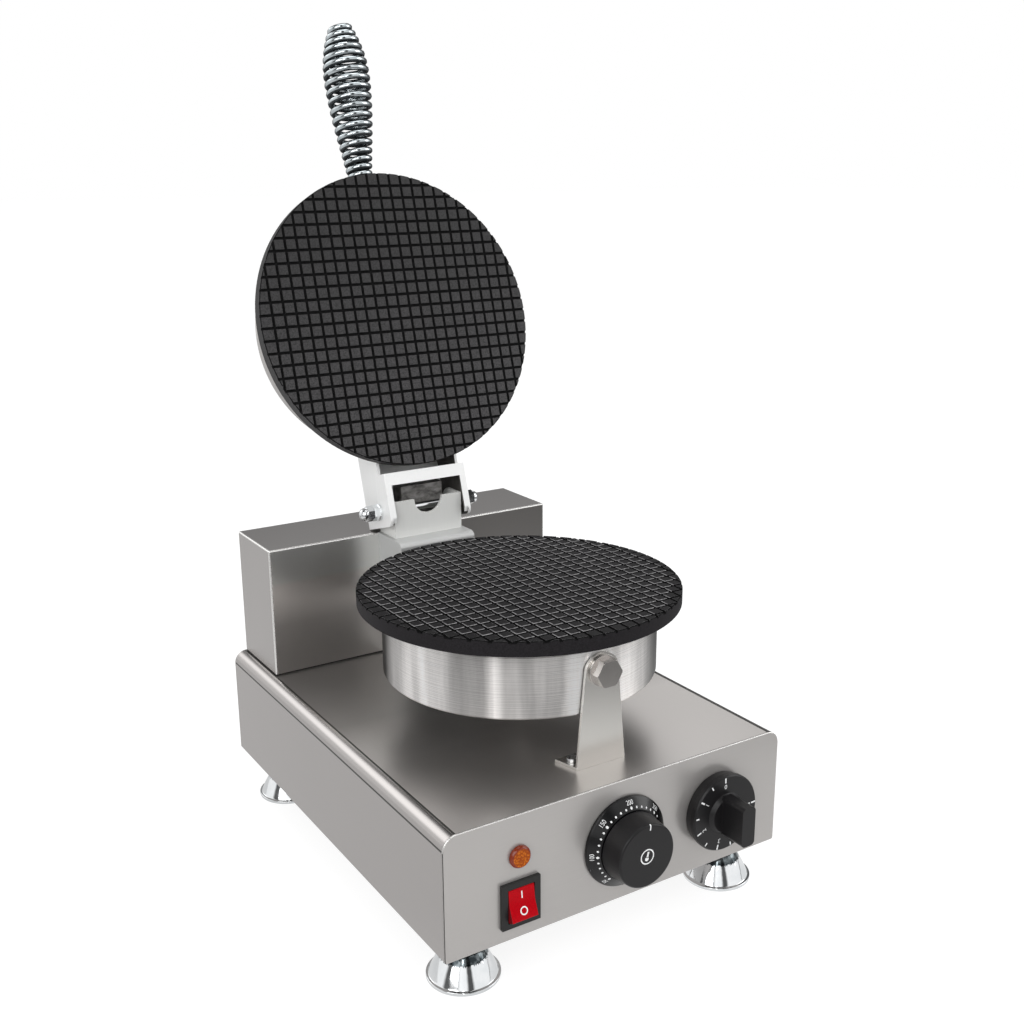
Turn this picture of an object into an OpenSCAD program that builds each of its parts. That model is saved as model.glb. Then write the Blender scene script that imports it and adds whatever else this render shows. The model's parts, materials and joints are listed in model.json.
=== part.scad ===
// Waffle cone maker with two round grill plates, a hinged upper head and a sprung wire handle.
// X runs left to right seen from the front, Y runs front to back, Z runs up from the bench.
// The origin is at the middle of the overall box, on the bench. The head is drawn open.

/* [Housing] */
// Gap between the bench and the underside of the housing
foot_h = 30; // [26:0.5:40]
// Width of the housing
housing_w = 246; // [225:1:280]
// Depth of the housing
housing_d = 318; // [300:1:360]
// Height of the housing
housing_h = 78.2; // [72:0.2:95]
// Thickness of the stainless sheet
sheet = 1.2; // [0.8:0.1:1.6]
// Outer radius of the rolled long edges
roll_r = 9; // [5:0.5:12]
// Radius of the lower corners
corner_r = 1.5; // [1.3:0.1:5]
// Width of the inward flanges that carry the covers
flange_w = 14; // [11:0.5:18]
// Width of the riser box at the back
riser_w = 228; // [200:1:240]
// Distance from the back of the housing to the back of the riser
riser_inset = 1.2; // [0.8:0.2:12]
// Width of the pedestal in front of the riser
pedestal_w = 60; // [56:0.5:60.5]
// Radius of the front top edge of the pedestal
pedestal_r = 4; // [2:0.5:6]

/* [Grill plates] */
// Diameter of both grill plates
plate_d = 209; // [190:1:220]
// Thickness of a grill plate
plate_t = 9.7; // [8:0.1:14]
// Distance between neighbouring grooves
grid_pitch = 8.65; // [7:0.05:11]
// Width of a groove
groove_w = 1.9; // [1:0.1:3]
// Depth of a groove
groove_d = 1.5; // [0.8:0.1:3]
// Distance from the front of the housing to the rim of the lower plate
plate_front = 10.2; // [8:0.1:16]
// How far a plate reaches beyond its drum
rim_overhang = 15.5; // [10:0.5:20]
// Gap between the faces of the closed plates
batter_gap = 1.6; // [1:0.1:4]

/* [Drums] */
// Gap between the top of the housing and the lower drum
drum_clear = 34.2; // [30:0.2:45]
// Depth of a drum behind its plate
drum_h = 46.2; // [40:0.2:60]
// Wall of a drum
drum_wall = 2; // [1.5:0.1:3]
// Distance from the plate to the turned groove round a drum
drum_line = 7; // [4:0.5:10]

/* [Hinge] */
// Distance from the rim of the plates back to the hinge axis
hinge_setback = 29.3; // [29:0.1:40]
// Height of the hinge axis above the top of the riser
pin_rise = 17.7; // [17:0.1:20]
// Distance from the hinge axis down to the upper plate's face when closed
face_drop = 18.8; // [17:0.1:20]
// Angle that the head swings from closed to open
open_angle = 106.9; // [95:0.1:110]
// Diameter of the hinge pin
pin_d = 6; // [5:0.5:7]
// Width of the fixed hinge bracket
bracket_w = 54.3; // [48:0.1:54.5]
// Distance from the hinge axis forward to the front of the hinge bracket
bracket_front = 13; // [11:0.1:14]
// Sheet thickness of the hinge bracket
bracket_t = 2; // [1.5:0.1:3]
// Radius of the notch in the front of the hinge bracket
notch_r = 11; // [7:0.5:12]
// Outer width of the yoke
yoke_w = 65; // [65:0.5:75]
// Sheet thickness of the yoke
yoke_t = 2; // [1.5:0.1:2.2]
// Distance from the hinge axis to the back of the yoke
yoke_back = 22; // [19.6:0.1:23]
// Clearance of a part that turns on the pin, on the radius
turn_gap = 0.06; // [0.02:0.01:0.1]

/* [Handle] */
// Diameter of the handle wire
wire_d = 4.6; // [3.6:0.1:5]
// Length of the wound handle
coil_len = 123; // [100:0.5:150]
// Number of turns
coil_turns = 21; // [16:0.5:22]
// Largest outer diameter of the handle
coil_d = 34.5; // [28:0.5:44]
// Outer diameter of the handle at its tip
coil_tip_d = 17.7; // [14:0.5:24]
// Diameter of the stud that carries the handle
stud_d = 8; // [6:0.5:10]
// Distance from the upper plate to the handle's stud
handle_drop = 19.4; // [14:0.2:26]
// Tilt of the handle towards the face of the plate
handle_tilt = 4.2; // [0:0.1:8]

/* [Controls] */
// Sideways place of the switch and the lamp
switch_x = -74.1; // [-85:0.1:-70]
// Sideways place of the thermostat
thermostat_x = 0; // [-8:0.1:8]
// Sideways place of the timer
timer_x = 72; // [66:0.1:85]
// Height of both dials above the underside of the housing
dial_z = 38.6; // [34:0.1:42]
// Height of the switch above the underside of the housing
switch_z = 23.2; // [20:0.1:26]
// Height of the lamp above the underside of the housing
lamp_z = 52.2; // [50:0.1:56]
// Diameter of the lamp's lens
lamp_d = 13.7; // [10:0.1:18]
// Diameter of the thermostat's scale ring
bezel_d = 57.8; // [52:0.2:62]
// Diameter of the thermostat's knob
knob_d = 40.4; // [30:0.2:44]
// Reach of the thermostat's knob in front of the housing
knob_reach = 22.5; // [18:0.5:26]
// Diameter of the timer's skirt
skirt_d = 50.4; // [40:0.2:56]
// Reach of the timer's grip in front of the housing
grip_reach = 30; // [24:0.5:32]
// Diameter of both spindles
spindle_d = 6; // [4:0.5:7]
// Width of the switch's frame
switch_w = 25.8; // [24:0.1:30]
// Height of the switch's frame
switch_h = 28.4; // [27.4:0.1:32]
// Half of the angle that the rocker tips through
rocker_tip = 14.5; // [10:0.5:16]

/* [Feet] */
// Diameter of a foot
foot_d = 44.4; // [36:0.2:50]
// Distance of the feet from the sides of the housing
foot_side = 25.6; // [25:0.1:40]
// Distance of the front feet from the front
foot_front = 25; // [24:0.5:40]
// Distance of the back feet from the back
foot_rear = 30; // [24:0.5:50]
// Diameter of a foot's threaded stud
foot_stud_d = 10; // [8:0.5:12]

/* [Cable entry] */
// Bore of the cable gland
gland_bore = 8; // [6:0.1:10]
// Distance of the cable gland from the right side of the housing
gland_side = 38; // [26:1:60]

/* [Hidden] */
$fn = 64;

// Colours of the finishes
stainless = [0.72, 0.70, 0.68];
satin = [0.85, 0.85, 0.84];
spun = [0.78, 0.78, 0.78];
coated = [0.07, 0.07, 0.075];
bright = [0.80, 0.82, 0.84];
zinc = [0.62, 0.62, 0.62];
black = [0.05, 0.05, 0.05];
wool = [0.86, 0.83, 0.74];

// Clearances: between fixed neighbours, between moving neighbours, and for screws in holes
seat_gap = 0.1;
move_gap = 0.5;
screw_gap = 0.2;

// Heights above the bench
top_z = foot_h + housing_h;
drum_z = top_z + drum_clear;
plate_z = drum_z + drum_h;
face_z = plate_z + plate_t;
hinge_z = face_z + batter_gap + face_drop;
riser_z = hinge_z - pin_rise;
riser_h = riser_z - top_z;

// Radii of the plates and drums, and the reach of their centres from the hinge axis
plate_r = plate_d / 2;
drum_r = plate_r - rim_overhang;
reach = plate_r + hinge_setback;
lean = open_angle - 90;

// Depths in the head, measured from the hinge axis away from the plate's face
plate_back = plate_t - face_drop;
drum_back = plate_back + drum_h;
yoke_front = -(pin_rise - 1.3);
yoke_step = plate_back + 1.6;
yoke_step_v = hinge_setback - 3.3;
window_v = yoke_step_v - 8.8;

// The handle's centre line in the head, and the coil round it
handle_y = plate_back + handle_drop;
handle_v = reach + drum_r;
nut_h = 6.5;
nut_af = 13;
wire_r = wire_d / 2;
stud_r = stud_d / 2;
coil_root_r = stud_r + seat_gap + wire_r;
coil_peak = 0.68;
coil_seg = 18;
wire_seg = 8;
coil_steps = coil_turns * coil_seg;
coil_bunch = 0.18;
coil_start = nut_h + 0.3;

// The coil is slim at its root, fullest past its middle and drawn in at its tip
function coil_r(t) = t < coil_peak
    ? coil_root_r + (coil_d / 2 - wire_r - coil_root_r) * (1 - cos(180 * t / coil_peak)) / 2
    : coil_d / 2 - wire_r
        - (coil_d - coil_tip_d) / 2 * pow((t - coil_peak) / (1 - coil_peak), 1.75);
// Height along the coil, with closer turns at both ends
function coil_z(t) = coil_start + wire_r
    + (coil_len - wire_d) * (t - coil_bunch * sin(360 * t) / (2 * PI));
function coil_point(t, q) = let (a = 360 * coil_turns * t, r = coil_r(t) + wire_r * cos(q))
    [r * cos(a), r * sin(a), coil_z(t) + wire_r * sin(q)];

// Back edge of the open head and of the handle, and the front edge of the grip
function tilted_y(y, v, turn) = y * cos(turn) + v * sin(turn);
handle_far = max([for (i = [0 : coil_steps]) let (p = coil_point(i / coil_steps, 0),
    along = tilted_y(p[1], p[2], -handle_tilt), up = p[2] * cos(handle_tilt) + p[1] * sin(handle_tilt))
    tilted_y(handle_y + along, handle_v + up, lean)]);
drum_far = tilted_y(drum_back, reach + drum_r - 2, lean);
hinge_from_front = plate_front + plate_r + reach;
far_y = max(hinge_from_front + max(handle_far, drum_far), housing_d);
front_y = -(far_y - max(grip_reach, knob_reach)) / 2;

// Places along the depth
plate_y = front_y + plate_front + plate_r;
hinge_y = plate_y + reach;
back_y = front_y + housing_d;
pedestal_y = plate_y + plate_r + 2.3;
riser_y = hinge_y + 8.8;
riser_end = back_y - riser_inset;
dial_h = foot_h + dial_z;

// Hinge details
pin_r = pin_d / 2;
ear_r = 9;
ear_back = 11;
block_t = 5.5;
block_top = sqrt(pow(yoke_back - yoke_t - 0.8, 2) - pow(pin_r + move_gap + block_t, 2));
heel = (pin_rise - 0.3 - yoke_back * sin(lean)) / cos(lean);
arm_in = bracket_w / 2 + 0.45;
strip_sweep = pin_rise - 0.4;
strip_end = 9.5;
bush_t = yoke_w / 2 - yoke_t - bracket_w / 2 - 0.2;
washer_t = 1.5;
pin_nut_h = 4.5;
pin_nut_af = pin_d + 4;
cap_h = 10;
pin_nut_x = yoke_w / 2 + washer_t;

// Plate and heater details
grooves = floor((plate_r - 4) / grid_pitch);
element_d = 8;
element_r = plate_r * 0.56;
clamp_t = 10;
clamp_r = drum_r - 14;
wool_t = 20;
centre_stud_r = 4;

// Fasteners
m4_r = 2;
m4_head_r = 3.6;
m4_head_h = 2.4;
support_bolt_r = 5;
support_bolt_af = 16;
support_bolt_z = plate_z - 19.3;
support_w = 35.5;
support_top_w = 24;
support_t = 2;
support_rise = 11.3;
support_foot = 15;
support_splay = 4.4;
support_screw_in = 8;
drum_front = plate_y - drum_r;
drum_rear = plate_y + drum_r;
nipple_r = 9;
nipple_bore = 6.5;
nipple_z = drum_z + drum_h / 2 - 4;
rocker_r = 10.3;
rocker_w = 17.4;
bezel_proud = 2.5;
bezel_t = 6.9;
skirt_t = 9;
hub_r = 11.6;
hub_t = 3;
grip_w = 10.4;
grip_l = 26;
gland_z = foot_h + 32;
regulator_w = 42;
regulator_depth = 30;
bulb_r = 3.2;
bulb_l = 60;
block_pitch = 12;
block_d = 24;
block_h = 20;
block_x = 20;
block_y = back_y - 75;
gland_x = housing_w / 2 - gland_side;
foot_nut_h = 6;
foot_rim_t = 2;
foot_rim_w = 1.5;
foot_stud_top = foot_h + 2 * sheet + foot_nut_h + 2.5;

// A profile drawn in Y and Z, made solid along X about the middle
module along_x(w) translate([-w / 2, 0, 0]) rotate([90, 0, 90]) linear_extrude(w) children();

// A profile drawn in X and Z, made solid from y = 0 backwards
module along_y(d) translate([0, d, 0]) rotate([90, 0, 0]) linear_extrude(d) children();

// A round bar from y = 0 backwards
module bar_y(r, d) rotate([-90, 0, 0]) cylinder(r = r, h = d);

// A round bar along X between two places
module bar_x(r, x0, x1) translate([x0, 0, 0]) rotate([0, 90, 0]) cylinder(r = r, h = x1 - x0);

// Puts a part of the upper head at its open place: Z runs from the hinge to the handle
module in_head() translate([0, hinge_y, hinge_z]) rotate([-lean, 0, 0]) children();

module hexagon(af, h) cylinder(d = af / cos(30), h = h, $fn = 6);

// A rectangle standing on Z = 0 with rounded top and lower corners
module panel_outline(w, h, top, low) {
    translate([-w / 2 + top, h / 2]) square([w - 2 * top, h / 2]);
    translate([-w / 2 + low, 0]) square([w - 2 * low, h / 2]);
    translate([-w / 2, low]) square([w, h - top - low]);
    for (s = [-1, 1]) {
        translate([s * (w / 2 - top), h - top]) circle(top);
        translate([s * (w / 2 - low), low]) circle(low);
    }
}

module housing_outline(inset = 0) translate([0, inset]) panel_outline(housing_w - 2 * inset,
    housing_h - 2 * inset, roll_r - inset, corner_r - inset);

// A pan head screw whose head stands on z = 0 and whose shank runs down
module pan_screw(len) {
    rotate_extrude() {
        square([m4_head_r, m4_head_h - 1]);
        translate([0, m4_head_h - 1]) square([m4_head_r - 1, 1]);
        intersection() {
            translate([m4_head_r - 1, m4_head_h - 1]) circle(1);
            square([m4_head_r, m4_head_h]);
        }
    }
    translate([0, 0, -len]) cylinder(r = m4_r, h = len);
}

// Where the screws of the bottom cover, the back panel and the riser's back sit
cover_screw_y = [60, housing_d / 2, housing_d - 75];
side_screw_x = housing_w / 2 - flange_w / 2;
back_screw_z = [14, housing_h - 14];
riser_screw_x = riser_w / 2 - 8;
riser_screw_z = [10, riser_h - 10];

module each_foot() for (x = [-1, 1], y = [front_y + foot_front, back_y - foot_rear])
    translate([x * (housing_w / 2 - foot_side), y, 0]) children();

// ---- Housing ----

module housing_shell() color(stainless) difference() {
    translate([0, front_y + sheet, foot_h]) along_y(housing_d - 2 * sheet) difference() {
        housing_outline();
        housing_outline(sheet);
        translate([-housing_w / 2 + flange_w, -1]) square([housing_w - 2 * flange_w, sheet + 2]);
    }
    // Way for the wiring up into the riser, and up into the pedestal
    translate([-60, riser_y + 10, top_z - 5]) cube([120, 20, 10]);
    // Screws of the support bracket, the bottom cover and the feet
    at_support_screws() translate([0, 0, -10]) cylinder(r = m4_r + screw_gap, h = 20);
    at_cover_screws() translate([0, 0, -3]) cylinder(r = m4_r + screw_gap, h = 10);
    each_foot() translate([0, 0, foot_h - 5]) cylinder(r = foot_stud_d / 2 + 0.5, h = 10);
}

module front_panel() color(stainless) difference() {
    translate([0, front_y, foot_h]) along_y(sheet) housing_outline();
    for (x = [thermostat_x, timer_x])
        translate([x, front_y - 1, dial_h]) bar_y(spindle_d / 2 + 1, sheet + 2);
    translate([switch_x, front_y - 1, foot_h + lamp_z]) bar_y(lamp_d / 2 - 1, sheet + 2);
    translate([switch_x - switch_w / 2 + 1, front_y - 1, foot_h + switch_z - switch_h / 2 + 1])
        cube([switch_w - 2, sheet + 2, switch_h - 2]);
}

module back_panel() color(stainless) difference() {
    translate([0, back_y - sheet, foot_h]) along_y(sheet) housing_outline();
    translate([gland_x, back_y - sheet - 1, gland_z]) bar_y(8, sheet + 2);
    at_back_screws() cylinder(r = m4_r + screw_gap, h = 20, center = true);
}

module bottom_cover() color(stainless) difference() {
    translate([-housing_w / 2 + sheet + 3, front_y + sheet + 1, foot_h + sheet])
        cube([housing_w - 2 * sheet - 6, housing_d - 2 * sheet - 2, sheet]);
    at_cover_screws() translate([0, 0, -3]) cylinder(r = m4_r + seat_gap, h = 10);
    each_foot() translate([0, 0, foot_h - 5]) cylinder(r = foot_stud_d / 2 + 0.5, h = 15);
}

module at_cover_screws() for (s = [-1, 1], y = cover_screw_y)
    translate([s * side_screw_x, front_y + y, foot_h]) children();

// Angle clips inside the corners take the back panel's screws, so those point forwards
module at_back_screws() for (s = [-1, 1], z = back_screw_z)
    translate([s * (housing_w / 2 - 16), back_y, foot_h + z]) rotate([-90, 0, 0]) children();

module cover_screws() color(zinc) {
    at_cover_screws() mirror([0, 0, 1]) pan_screw(6);
    at_back_screws() pan_screw(8);
}

// ---- Riser and pedestal ----

module riser_cover() color(stainless) difference() {
    translate([-riser_w / 2, riser_y, top_z]) cube([riser_w, riser_end - riser_y, riser_h]);
    translate([-riser_w / 2 + sheet, riser_y + sheet, top_z - 1])
        cube([riser_w - 2 * sheet, riser_end - riser_y - 2 * sheet, riser_h - sheet + 1]);
    translate([-riser_w / 2 + flange_w, riser_end - 5, top_z - 1])
        cube([riser_w - 2 * flange_w, 10, riser_h - flange_w + 1]);
    // Way for the wiring from the pedestal
    translate([-20, riser_y - 1, top_z + 20]) cube([40, 4, 30]);
    at_riser_screws() cylinder(r = m4_r + screw_gap, h = 10, center = true);
}

module at_riser_screws() for (s = [-1, 1], z = riser_screw_z)
    translate([s * riser_screw_x, riser_end + sheet, top_z + z]) rotate([-90, 0, 0]) children();

module riser_back() color(stainless) difference() {
    translate([-riser_w / 2 + 1, riser_end, top_z + 1]) cube([riser_w - 2, sheet, riser_h - 2]);
    for (i = [-5 : 5]) for (z = [0, 1])
        translate([i * 14 - 2, riser_end - 1, top_z + riser_h / 2 + z * 4 - (1 - z) * 24])
            cube([4, sheet + 2, 20]);
    at_riser_screws() cylinder(r = m4_r + screw_gap, h = 10, center = true);
}

module riser_screws() color(zinc) at_riser_screws() pan_screw(6);

// Side view of the pedestal: a box open to the back with its front top edge rounded
module pedestal_profile(inset) {
    depth = riser_y - pedestal_y - inset;
    height = riser_h - inset;
    r = pedestal_r - inset;
    translate([pedestal_y + inset + r, 0]) square([depth - r, height]);
    translate([pedestal_y + inset, 0]) square([depth, height - r]);
    translate([pedestal_y + inset + r, height - r]) circle(r);
}

module pedestal_cover() color(stainless) difference() {
    translate([0, 0, top_z]) along_x(pedestal_w) pedestal_profile(0);
    translate([0, 0, top_z]) along_x(pedestal_w - 2 * sheet) union() {
        pedestal_profile(sheet);
        translate([pedestal_y + 8, -1]) square([riser_y - pedestal_y, riser_h - 8]);
        translate([pedestal_y + sheet, -1]) square([20, 10]);
    }
    at_bracket_screws() translate([0, 0, -10]) cylinder(r = m4_r + screw_gap, h = 20);
    translate([0, pedestal_y - 5, nipple_z]) bar_y(nipple_r + screw_gap, 10);
}

// ---- Hinge bracket ----

module at_bracket_screws() for (s = [-1, 1])
    translate([s * (bracket_w / 2 - 6.2), hinge_y, riser_z + bracket_t]) children();

module hinge_bracket() color(satin) difference() {
    union() {
        translate([-bracket_w / 2, hinge_y - bracket_front, riser_z])
            cube([bracket_w, bracket_t, pin_rise + ear_r]);
        translate([-bracket_w / 2, hinge_y - bracket_front, riser_z])
            cube([bracket_w, bracket_front + ear_back, bracket_t]);
        for (s = [-1, 1]) translate([s * (bracket_w - bracket_t) / 2, hinge_y, hinge_z])
            along_x(bracket_t) {
                translate([-bracket_front, -pin_rise]) square([bracket_front + ear_back, pin_rise]);
                translate([-bracket_front, 0]) square([bracket_front + ear_back - ear_r, ear_r]);
                translate([ear_back - ear_r, 0]) circle(ear_r);
            }
    }
    translate([0, hinge_y - bracket_front - 1, hinge_z + ear_r]) bar_y(notch_r, bracket_t + 2);
    translate([0, hinge_y, hinge_z]) bar_x(pin_r + turn_gap, -bracket_w, bracket_w);
    at_bracket_screws() translate([0, 0, -10]) cylinder(r = m4_r + screw_gap, h = 20);
}

module bracket_screws() color(zinc) at_bracket_screws() pan_screw(10);

// Steel block that stands behind the pin and reaches forward over it
module stop_block() color(zinc) translate([0, hinge_y, hinge_z]) along_x(bracket_w - 21) {
    translate([pin_r + move_gap, bracket_t - pin_rise]) square([block_t, pin_rise - bracket_t + block_top]);
    translate([-pin_r - move_gap, pin_r + move_gap])
        square([pin_d + 1, block_top - pin_r - move_gap]);
}

module hinge_bushes() color([0.75, 0.6, 0.3]) translate([0, hinge_y, hinge_z]) difference() {
    for (s = [-1, 1]) bar_x(pin_r + 2, min(s * bracket_w / 2, s * (bracket_w / 2 + bush_t)),
        max(s * bracket_w / 2, s * (bracket_w / 2 + bush_t)));
    bar_x(pin_r + turn_gap, -yoke_w, yoke_w);
}

// ---- Grill plates, heaters and drums ----

// A grill plate lying with its back on z = 0 and its grooved face up
module grill_plate() difference() {
    rotate_extrude($fn = 128) polygon([[0, 0], [plate_r - 0.5, 0], [plate_r, 0.5],
        [plate_r, plate_t - 0.6], [plate_r - 0.6, plate_t], [0, plate_t]]);
    for (i = [-grooves : grooves]) {
        translate([i * grid_pitch - groove_w / 2, -plate_r - 1, plate_t - groove_d])
            cube([groove_w, plate_d + 2, groove_d + 1]);
        translate([-plate_r - 1, i * grid_pitch - groove_w / 2, plate_t - groove_d])
            cube([plate_d + 2, groove_w, groove_d + 1]);
    }
    translate([0, 0, -1]) cylinder(r = centre_stud_r + seat_gap, h = 6);
}

// Ring heater, lying against the back of a plate that ends at z = 0
module heater() translate([0, 0, -element_d / 2 - seat_gap])
    rotate_extrude() translate([element_r, 0]) circle(element_d / 2);

// Cast disc that holds the ring heater to its plate
module heater_clamp() difference() {
    translate([0, 0, -clamp_t - seat_gap]) cylinder(r = clamp_r, h = clamp_t);
    translate([0, 0, -element_d / 2 - seat_gap])
        rotate_extrude() translate([element_r, 0]) circle(element_d / 2 + seat_gap);
    translate([0, 0, -clamp_t - 1]) cylinder(r = centre_stud_r + seat_gap, h = clamp_t + 2);
    bulb_way();
}

module bulb_way() translate([0, -22, -6]) rotate([0, 90, 0])
    cylinder(r = bulb_r + seat_gap, h = 2 * clamp_r + 2, center = true);

module wool_disc() translate([0, 0, -clamp_t - wool_t - 2 * seat_gap]) difference() {
    cylinder(r = clamp_r, h = wool_t);
    translate([0, 0, -1]) cylinder(r = centre_stud_r + 0.3, h = wool_t + 2);
}

// Drum with its open end at z = 0 and its closed end at z = -drum_h
module drum_body() difference() {
    rotate_extrude($fn = 128) {
        translate([0, -drum_h]) square([drum_r - 2, drum_h]);
        translate([drum_r - 3, -drum_h + 2]) square([3, drum_h - 2]);
        translate([drum_r - 2, -drum_h + 2]) circle(2);
    }
    translate([0, 0, -drum_h + drum_wall]) cylinder(r = drum_r - drum_wall, h = drum_h, $fn = 128);
    translate([0, 0, -drum_line]) rotate_extrude($fn = 128)
        translate([drum_r - 0.5, 0]) square([1, 0.9]);
    translate([0, 0, -drum_h - 1]) cylinder(r = centre_stud_r + screw_gap, h = drum_wall + 2);
}

// Stud from the plate out through the closed end of the drum, with its nut
module centre_stud() {
    translate([0, 0, -drum_h - 8.5]) cylinder(r = centre_stud_r, h = drum_h + 13);
    translate([0, 0, -drum_h - 6.5]) difference() {
        hexagon(nut_af, 6.5);
        translate([0, 0, -1]) cylinder(r = centre_stud_r + 0.05, h = 9);
    }
}

module at_lower() translate([0, plate_y, plate_z]) children();

module at_upper() in_head() translate([0, plate_back, reach]) rotate([90, 0, 0]) children();

module lower_plate() color(coated) at_lower() grill_plate();
module lower_element() color(zinc) at_lower() heater();
module lower_clamp() color(spun) at_lower() heater_clamp();
module lower_insulation() color(wool) at_lower() wool_disc();
module lower_stud() color(zinc) at_lower() centre_stud();

module lower_drum() color(spun) difference() {
    at_lower() drum_body();
    translate([0, drum_front - 5, support_bolt_z]) bar_y(support_bolt_r + screw_gap, 15);
    translate([0, drum_rear - 10, nipple_z]) bar_y(nipple_r + screw_gap, 15);
}

// Sensing bulb of the thermostat in its way through the clamp
module thermostat_bulb() color(bright) at_lower() translate([-bulb_l / 2, -22, -6])
    rotate([0, 90, 0]) cylinder(r = bulb_r, h = bulb_l);

module upper_plate() color(coated) at_upper() grill_plate();
module upper_element() color(zinc) at_upper() heater();
module upper_clamp() color(spun) at_upper() heater_clamp();
module upper_insulation() color(wool) at_upper() wool_disc();
module upper_stud() color(zinc) at_upper() centre_stud();

module upper_drum() color(spun) difference() {
    at_upper() drum_body();
    in_head() at_handle() translate([0, 0, -20]) cylinder(r = stud_r + screw_gap, h = 30);
    in_head() at_yoke_screws() cylinder(r = m4_r + screw_gap, h = 12, center = true);
}

// ---- Front support of the lower drum ----

module at_support_screws() for (s = [-1, 1])
    translate([s * (support_w / 2 - 3.5), drum_front + support_screw_in, top_z + support_t]) children();

// Upright, narrower at its rounded top, with a foot bent back under the drum
module support_bracket() color(stainless) difference() {
    union() {
        top = support_bolt_z + support_rise - top_z;
        r = support_top_w / 2;
        side = (support_w / 2 - r) / (top - r);
        translate([0, drum_front - support_t, top_z]) along_y(support_t) {
            polygon([[-support_w / 2, 0], [support_w / 2, 0], [r, top - r], [-r, top - r]]);
            translate([0, top - r]) circle(r);
        }
        translate([0, drum_front - support_t, top_z]) linear_extrude(support_t)
            polygon([[-support_w / 2, 0], [support_w / 2, 0],
                [support_w / 2 + support_splay, support_t + support_foot],
                [-support_w / 2 - support_splay, support_t + support_foot]]);
    }
    translate([0, drum_front - 5, support_bolt_z]) bar_y(support_bolt_r + screw_gap, 10);
    at_support_screws() translate([0, 0, -10]) cylinder(r = m4_r + screw_gap, h = 20);
}

module support_washer() color(bright) translate([0, drum_front - support_t - 1.6, support_bolt_z])
    difference() {
        bar_y(10, 1.6);
        translate([0, -1, 0]) bar_y(support_bolt_r + screw_gap, 4);
    }

module support_bolt() color(bright) translate([0, drum_front - support_t - 1.6, support_bolt_z]) {
    rotate([90, 0, 0]) intersection() {
        hexagon(support_bolt_af, 6.4);
        cylinder(r1 = support_bolt_af / 2 + 7, r2 = support_bolt_af / 2, h = 6.4 + 0.8);
    }
    bar_y(support_bolt_r, 14);
    // Nut inside the drum
    translate([0, support_t + drum_wall + 2.6, 0]) rotate([-90, 0, 0]) difference() {
        hexagon(support_bolt_af, 8);
        translate([0, 0, -1]) cylinder(r = support_bolt_r + 0.05, h = 10);
    }
}

module support_screws() color(zinc) at_support_screws() pan_screw(9);

// ---- Hollow nipple that carries the back of the lower drum and its wiring ----

module conduit_nipple() color(zinc) translate([0, drum_rear - 10, nipple_z]) difference() {
    bar_y(nipple_r, pedestal_y - drum_rear + 20);
    translate([0, -1, 0]) bar_y(nipple_bore, pedestal_y - drum_rear + 22);
}

// A nut on each side of the drum's wall and of the pedestal's wall
module conduit_nuts() color(zinc)
    for (y = [drum_rear - drum_wall - 5.4, drum_rear, pedestal_y - 4, pedestal_y + sheet])
        translate([0, y, nipple_z]) rotate([-90, 0, 0]) difference() {
            hexagon(26, 4);
            translate([0, 0, -1]) cylinder(r = nipple_r + 0.05, h = 6);
        }

// ---- Controls ----

module at_thermostat() translate([thermostat_x, front_y, dial_h]) rotate([90, 0, 0]) children();
module at_timer() translate([timer_x, front_y, dial_h]) rotate([90, 0, 0]) children();

// A regulator behind the panel: its case, and its bush through the panel
module regulator(w, depth) difference() {
    translate([-w / 2, -w / 2, -sheet - depth]) cube([w, w, depth]);
    translate([0, 0, -sheet - 14]) cylinder(r = spindle_d / 2 + turn_gap, h = 20);
}

module spindle(reach_out) translate([0, 0, -sheet - 13]) cylinder(d = spindle_d, h = reach_out + 13);

module thermostat_body() color(zinc) at_thermostat() regulator(regulator_w, regulator_depth);
module timer_body() color(zinc) at_timer() regulator(regulator_w + 2, regulator_depth + 4);
module thermostat_spindle() color(zinc) at_thermostat() spindle(knob_reach - 5);
module timer_spindle() color(zinc) at_timer() spindle(grip_reach - 8);

module thermostat_bezel() color(black) at_thermostat() difference() {
    rotate_extrude($fn = 96) polygon([[0, 0], [bezel_d / 2, 0], [bezel_d / 2, 2],
        [knob_d / 2 + 2, bezel_t], [0, bezel_t]]);
    translate([0, 0, -1]) cylinder(r = spindle_d / 2 + 1, h = bezel_t + 2);
}

module thermostat_knob() color(black) at_thermostat() difference() {
    rotate_extrude($fn = 96) {
        r = knob_d / 2;
        polygon([[0, bezel_t + move_gap], [r + 1.3, bezel_t + move_gap], [r, knob_reach - 1.5],
            [r - 1.5, knob_reach - 1.5], [r - 1.5, knob_reach], [0, knob_reach]]);
        translate([r - 1.5, knob_reach - 1.5]) circle(1.5);
    }
    cylinder(d = spindle_d + 2 * seat_gap, h = knob_reach - 6);
}

module timer_knob() color(black) at_timer() difference() {
    union() {
        rotate_extrude($fn = 96) {
            r = skirt_d / 2;
            polygon([[0, move_gap], [r - 1, move_gap], [r - 0.6, skirt_t - 4], [r, skirt_t - 3.6],
                [r, skirt_t - 0.5], [r - 0.8, skirt_t + 0.5], [hub_r + 2, skirt_t + 0.5],
                [hub_r, skirt_t + hub_t], [0, skirt_t + hub_t]]);
        }
        // Bar grip with rounded ends
        for (s = [-1, 1]) for (x = [-1, 1])
            translate([x * (grip_w / 2 - 3), s * (grip_l / 2 - 3), skirt_t])
                cylinder(r = 3, h = grip_reach - skirt_t);
        translate([-grip_w / 2, -grip_l / 2 + 3, skirt_t])
            cube([grip_w, grip_l - 6, grip_reach - skirt_t]);
        translate([-grip_w / 2 + 3, -grip_l / 2, skirt_t])
            cube([grip_w - 6, grip_l, grip_reach - skirt_t]);
    }
    cylinder(d = spindle_d + 2 * seat_gap, h = grip_reach - 8.5);
}

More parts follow.
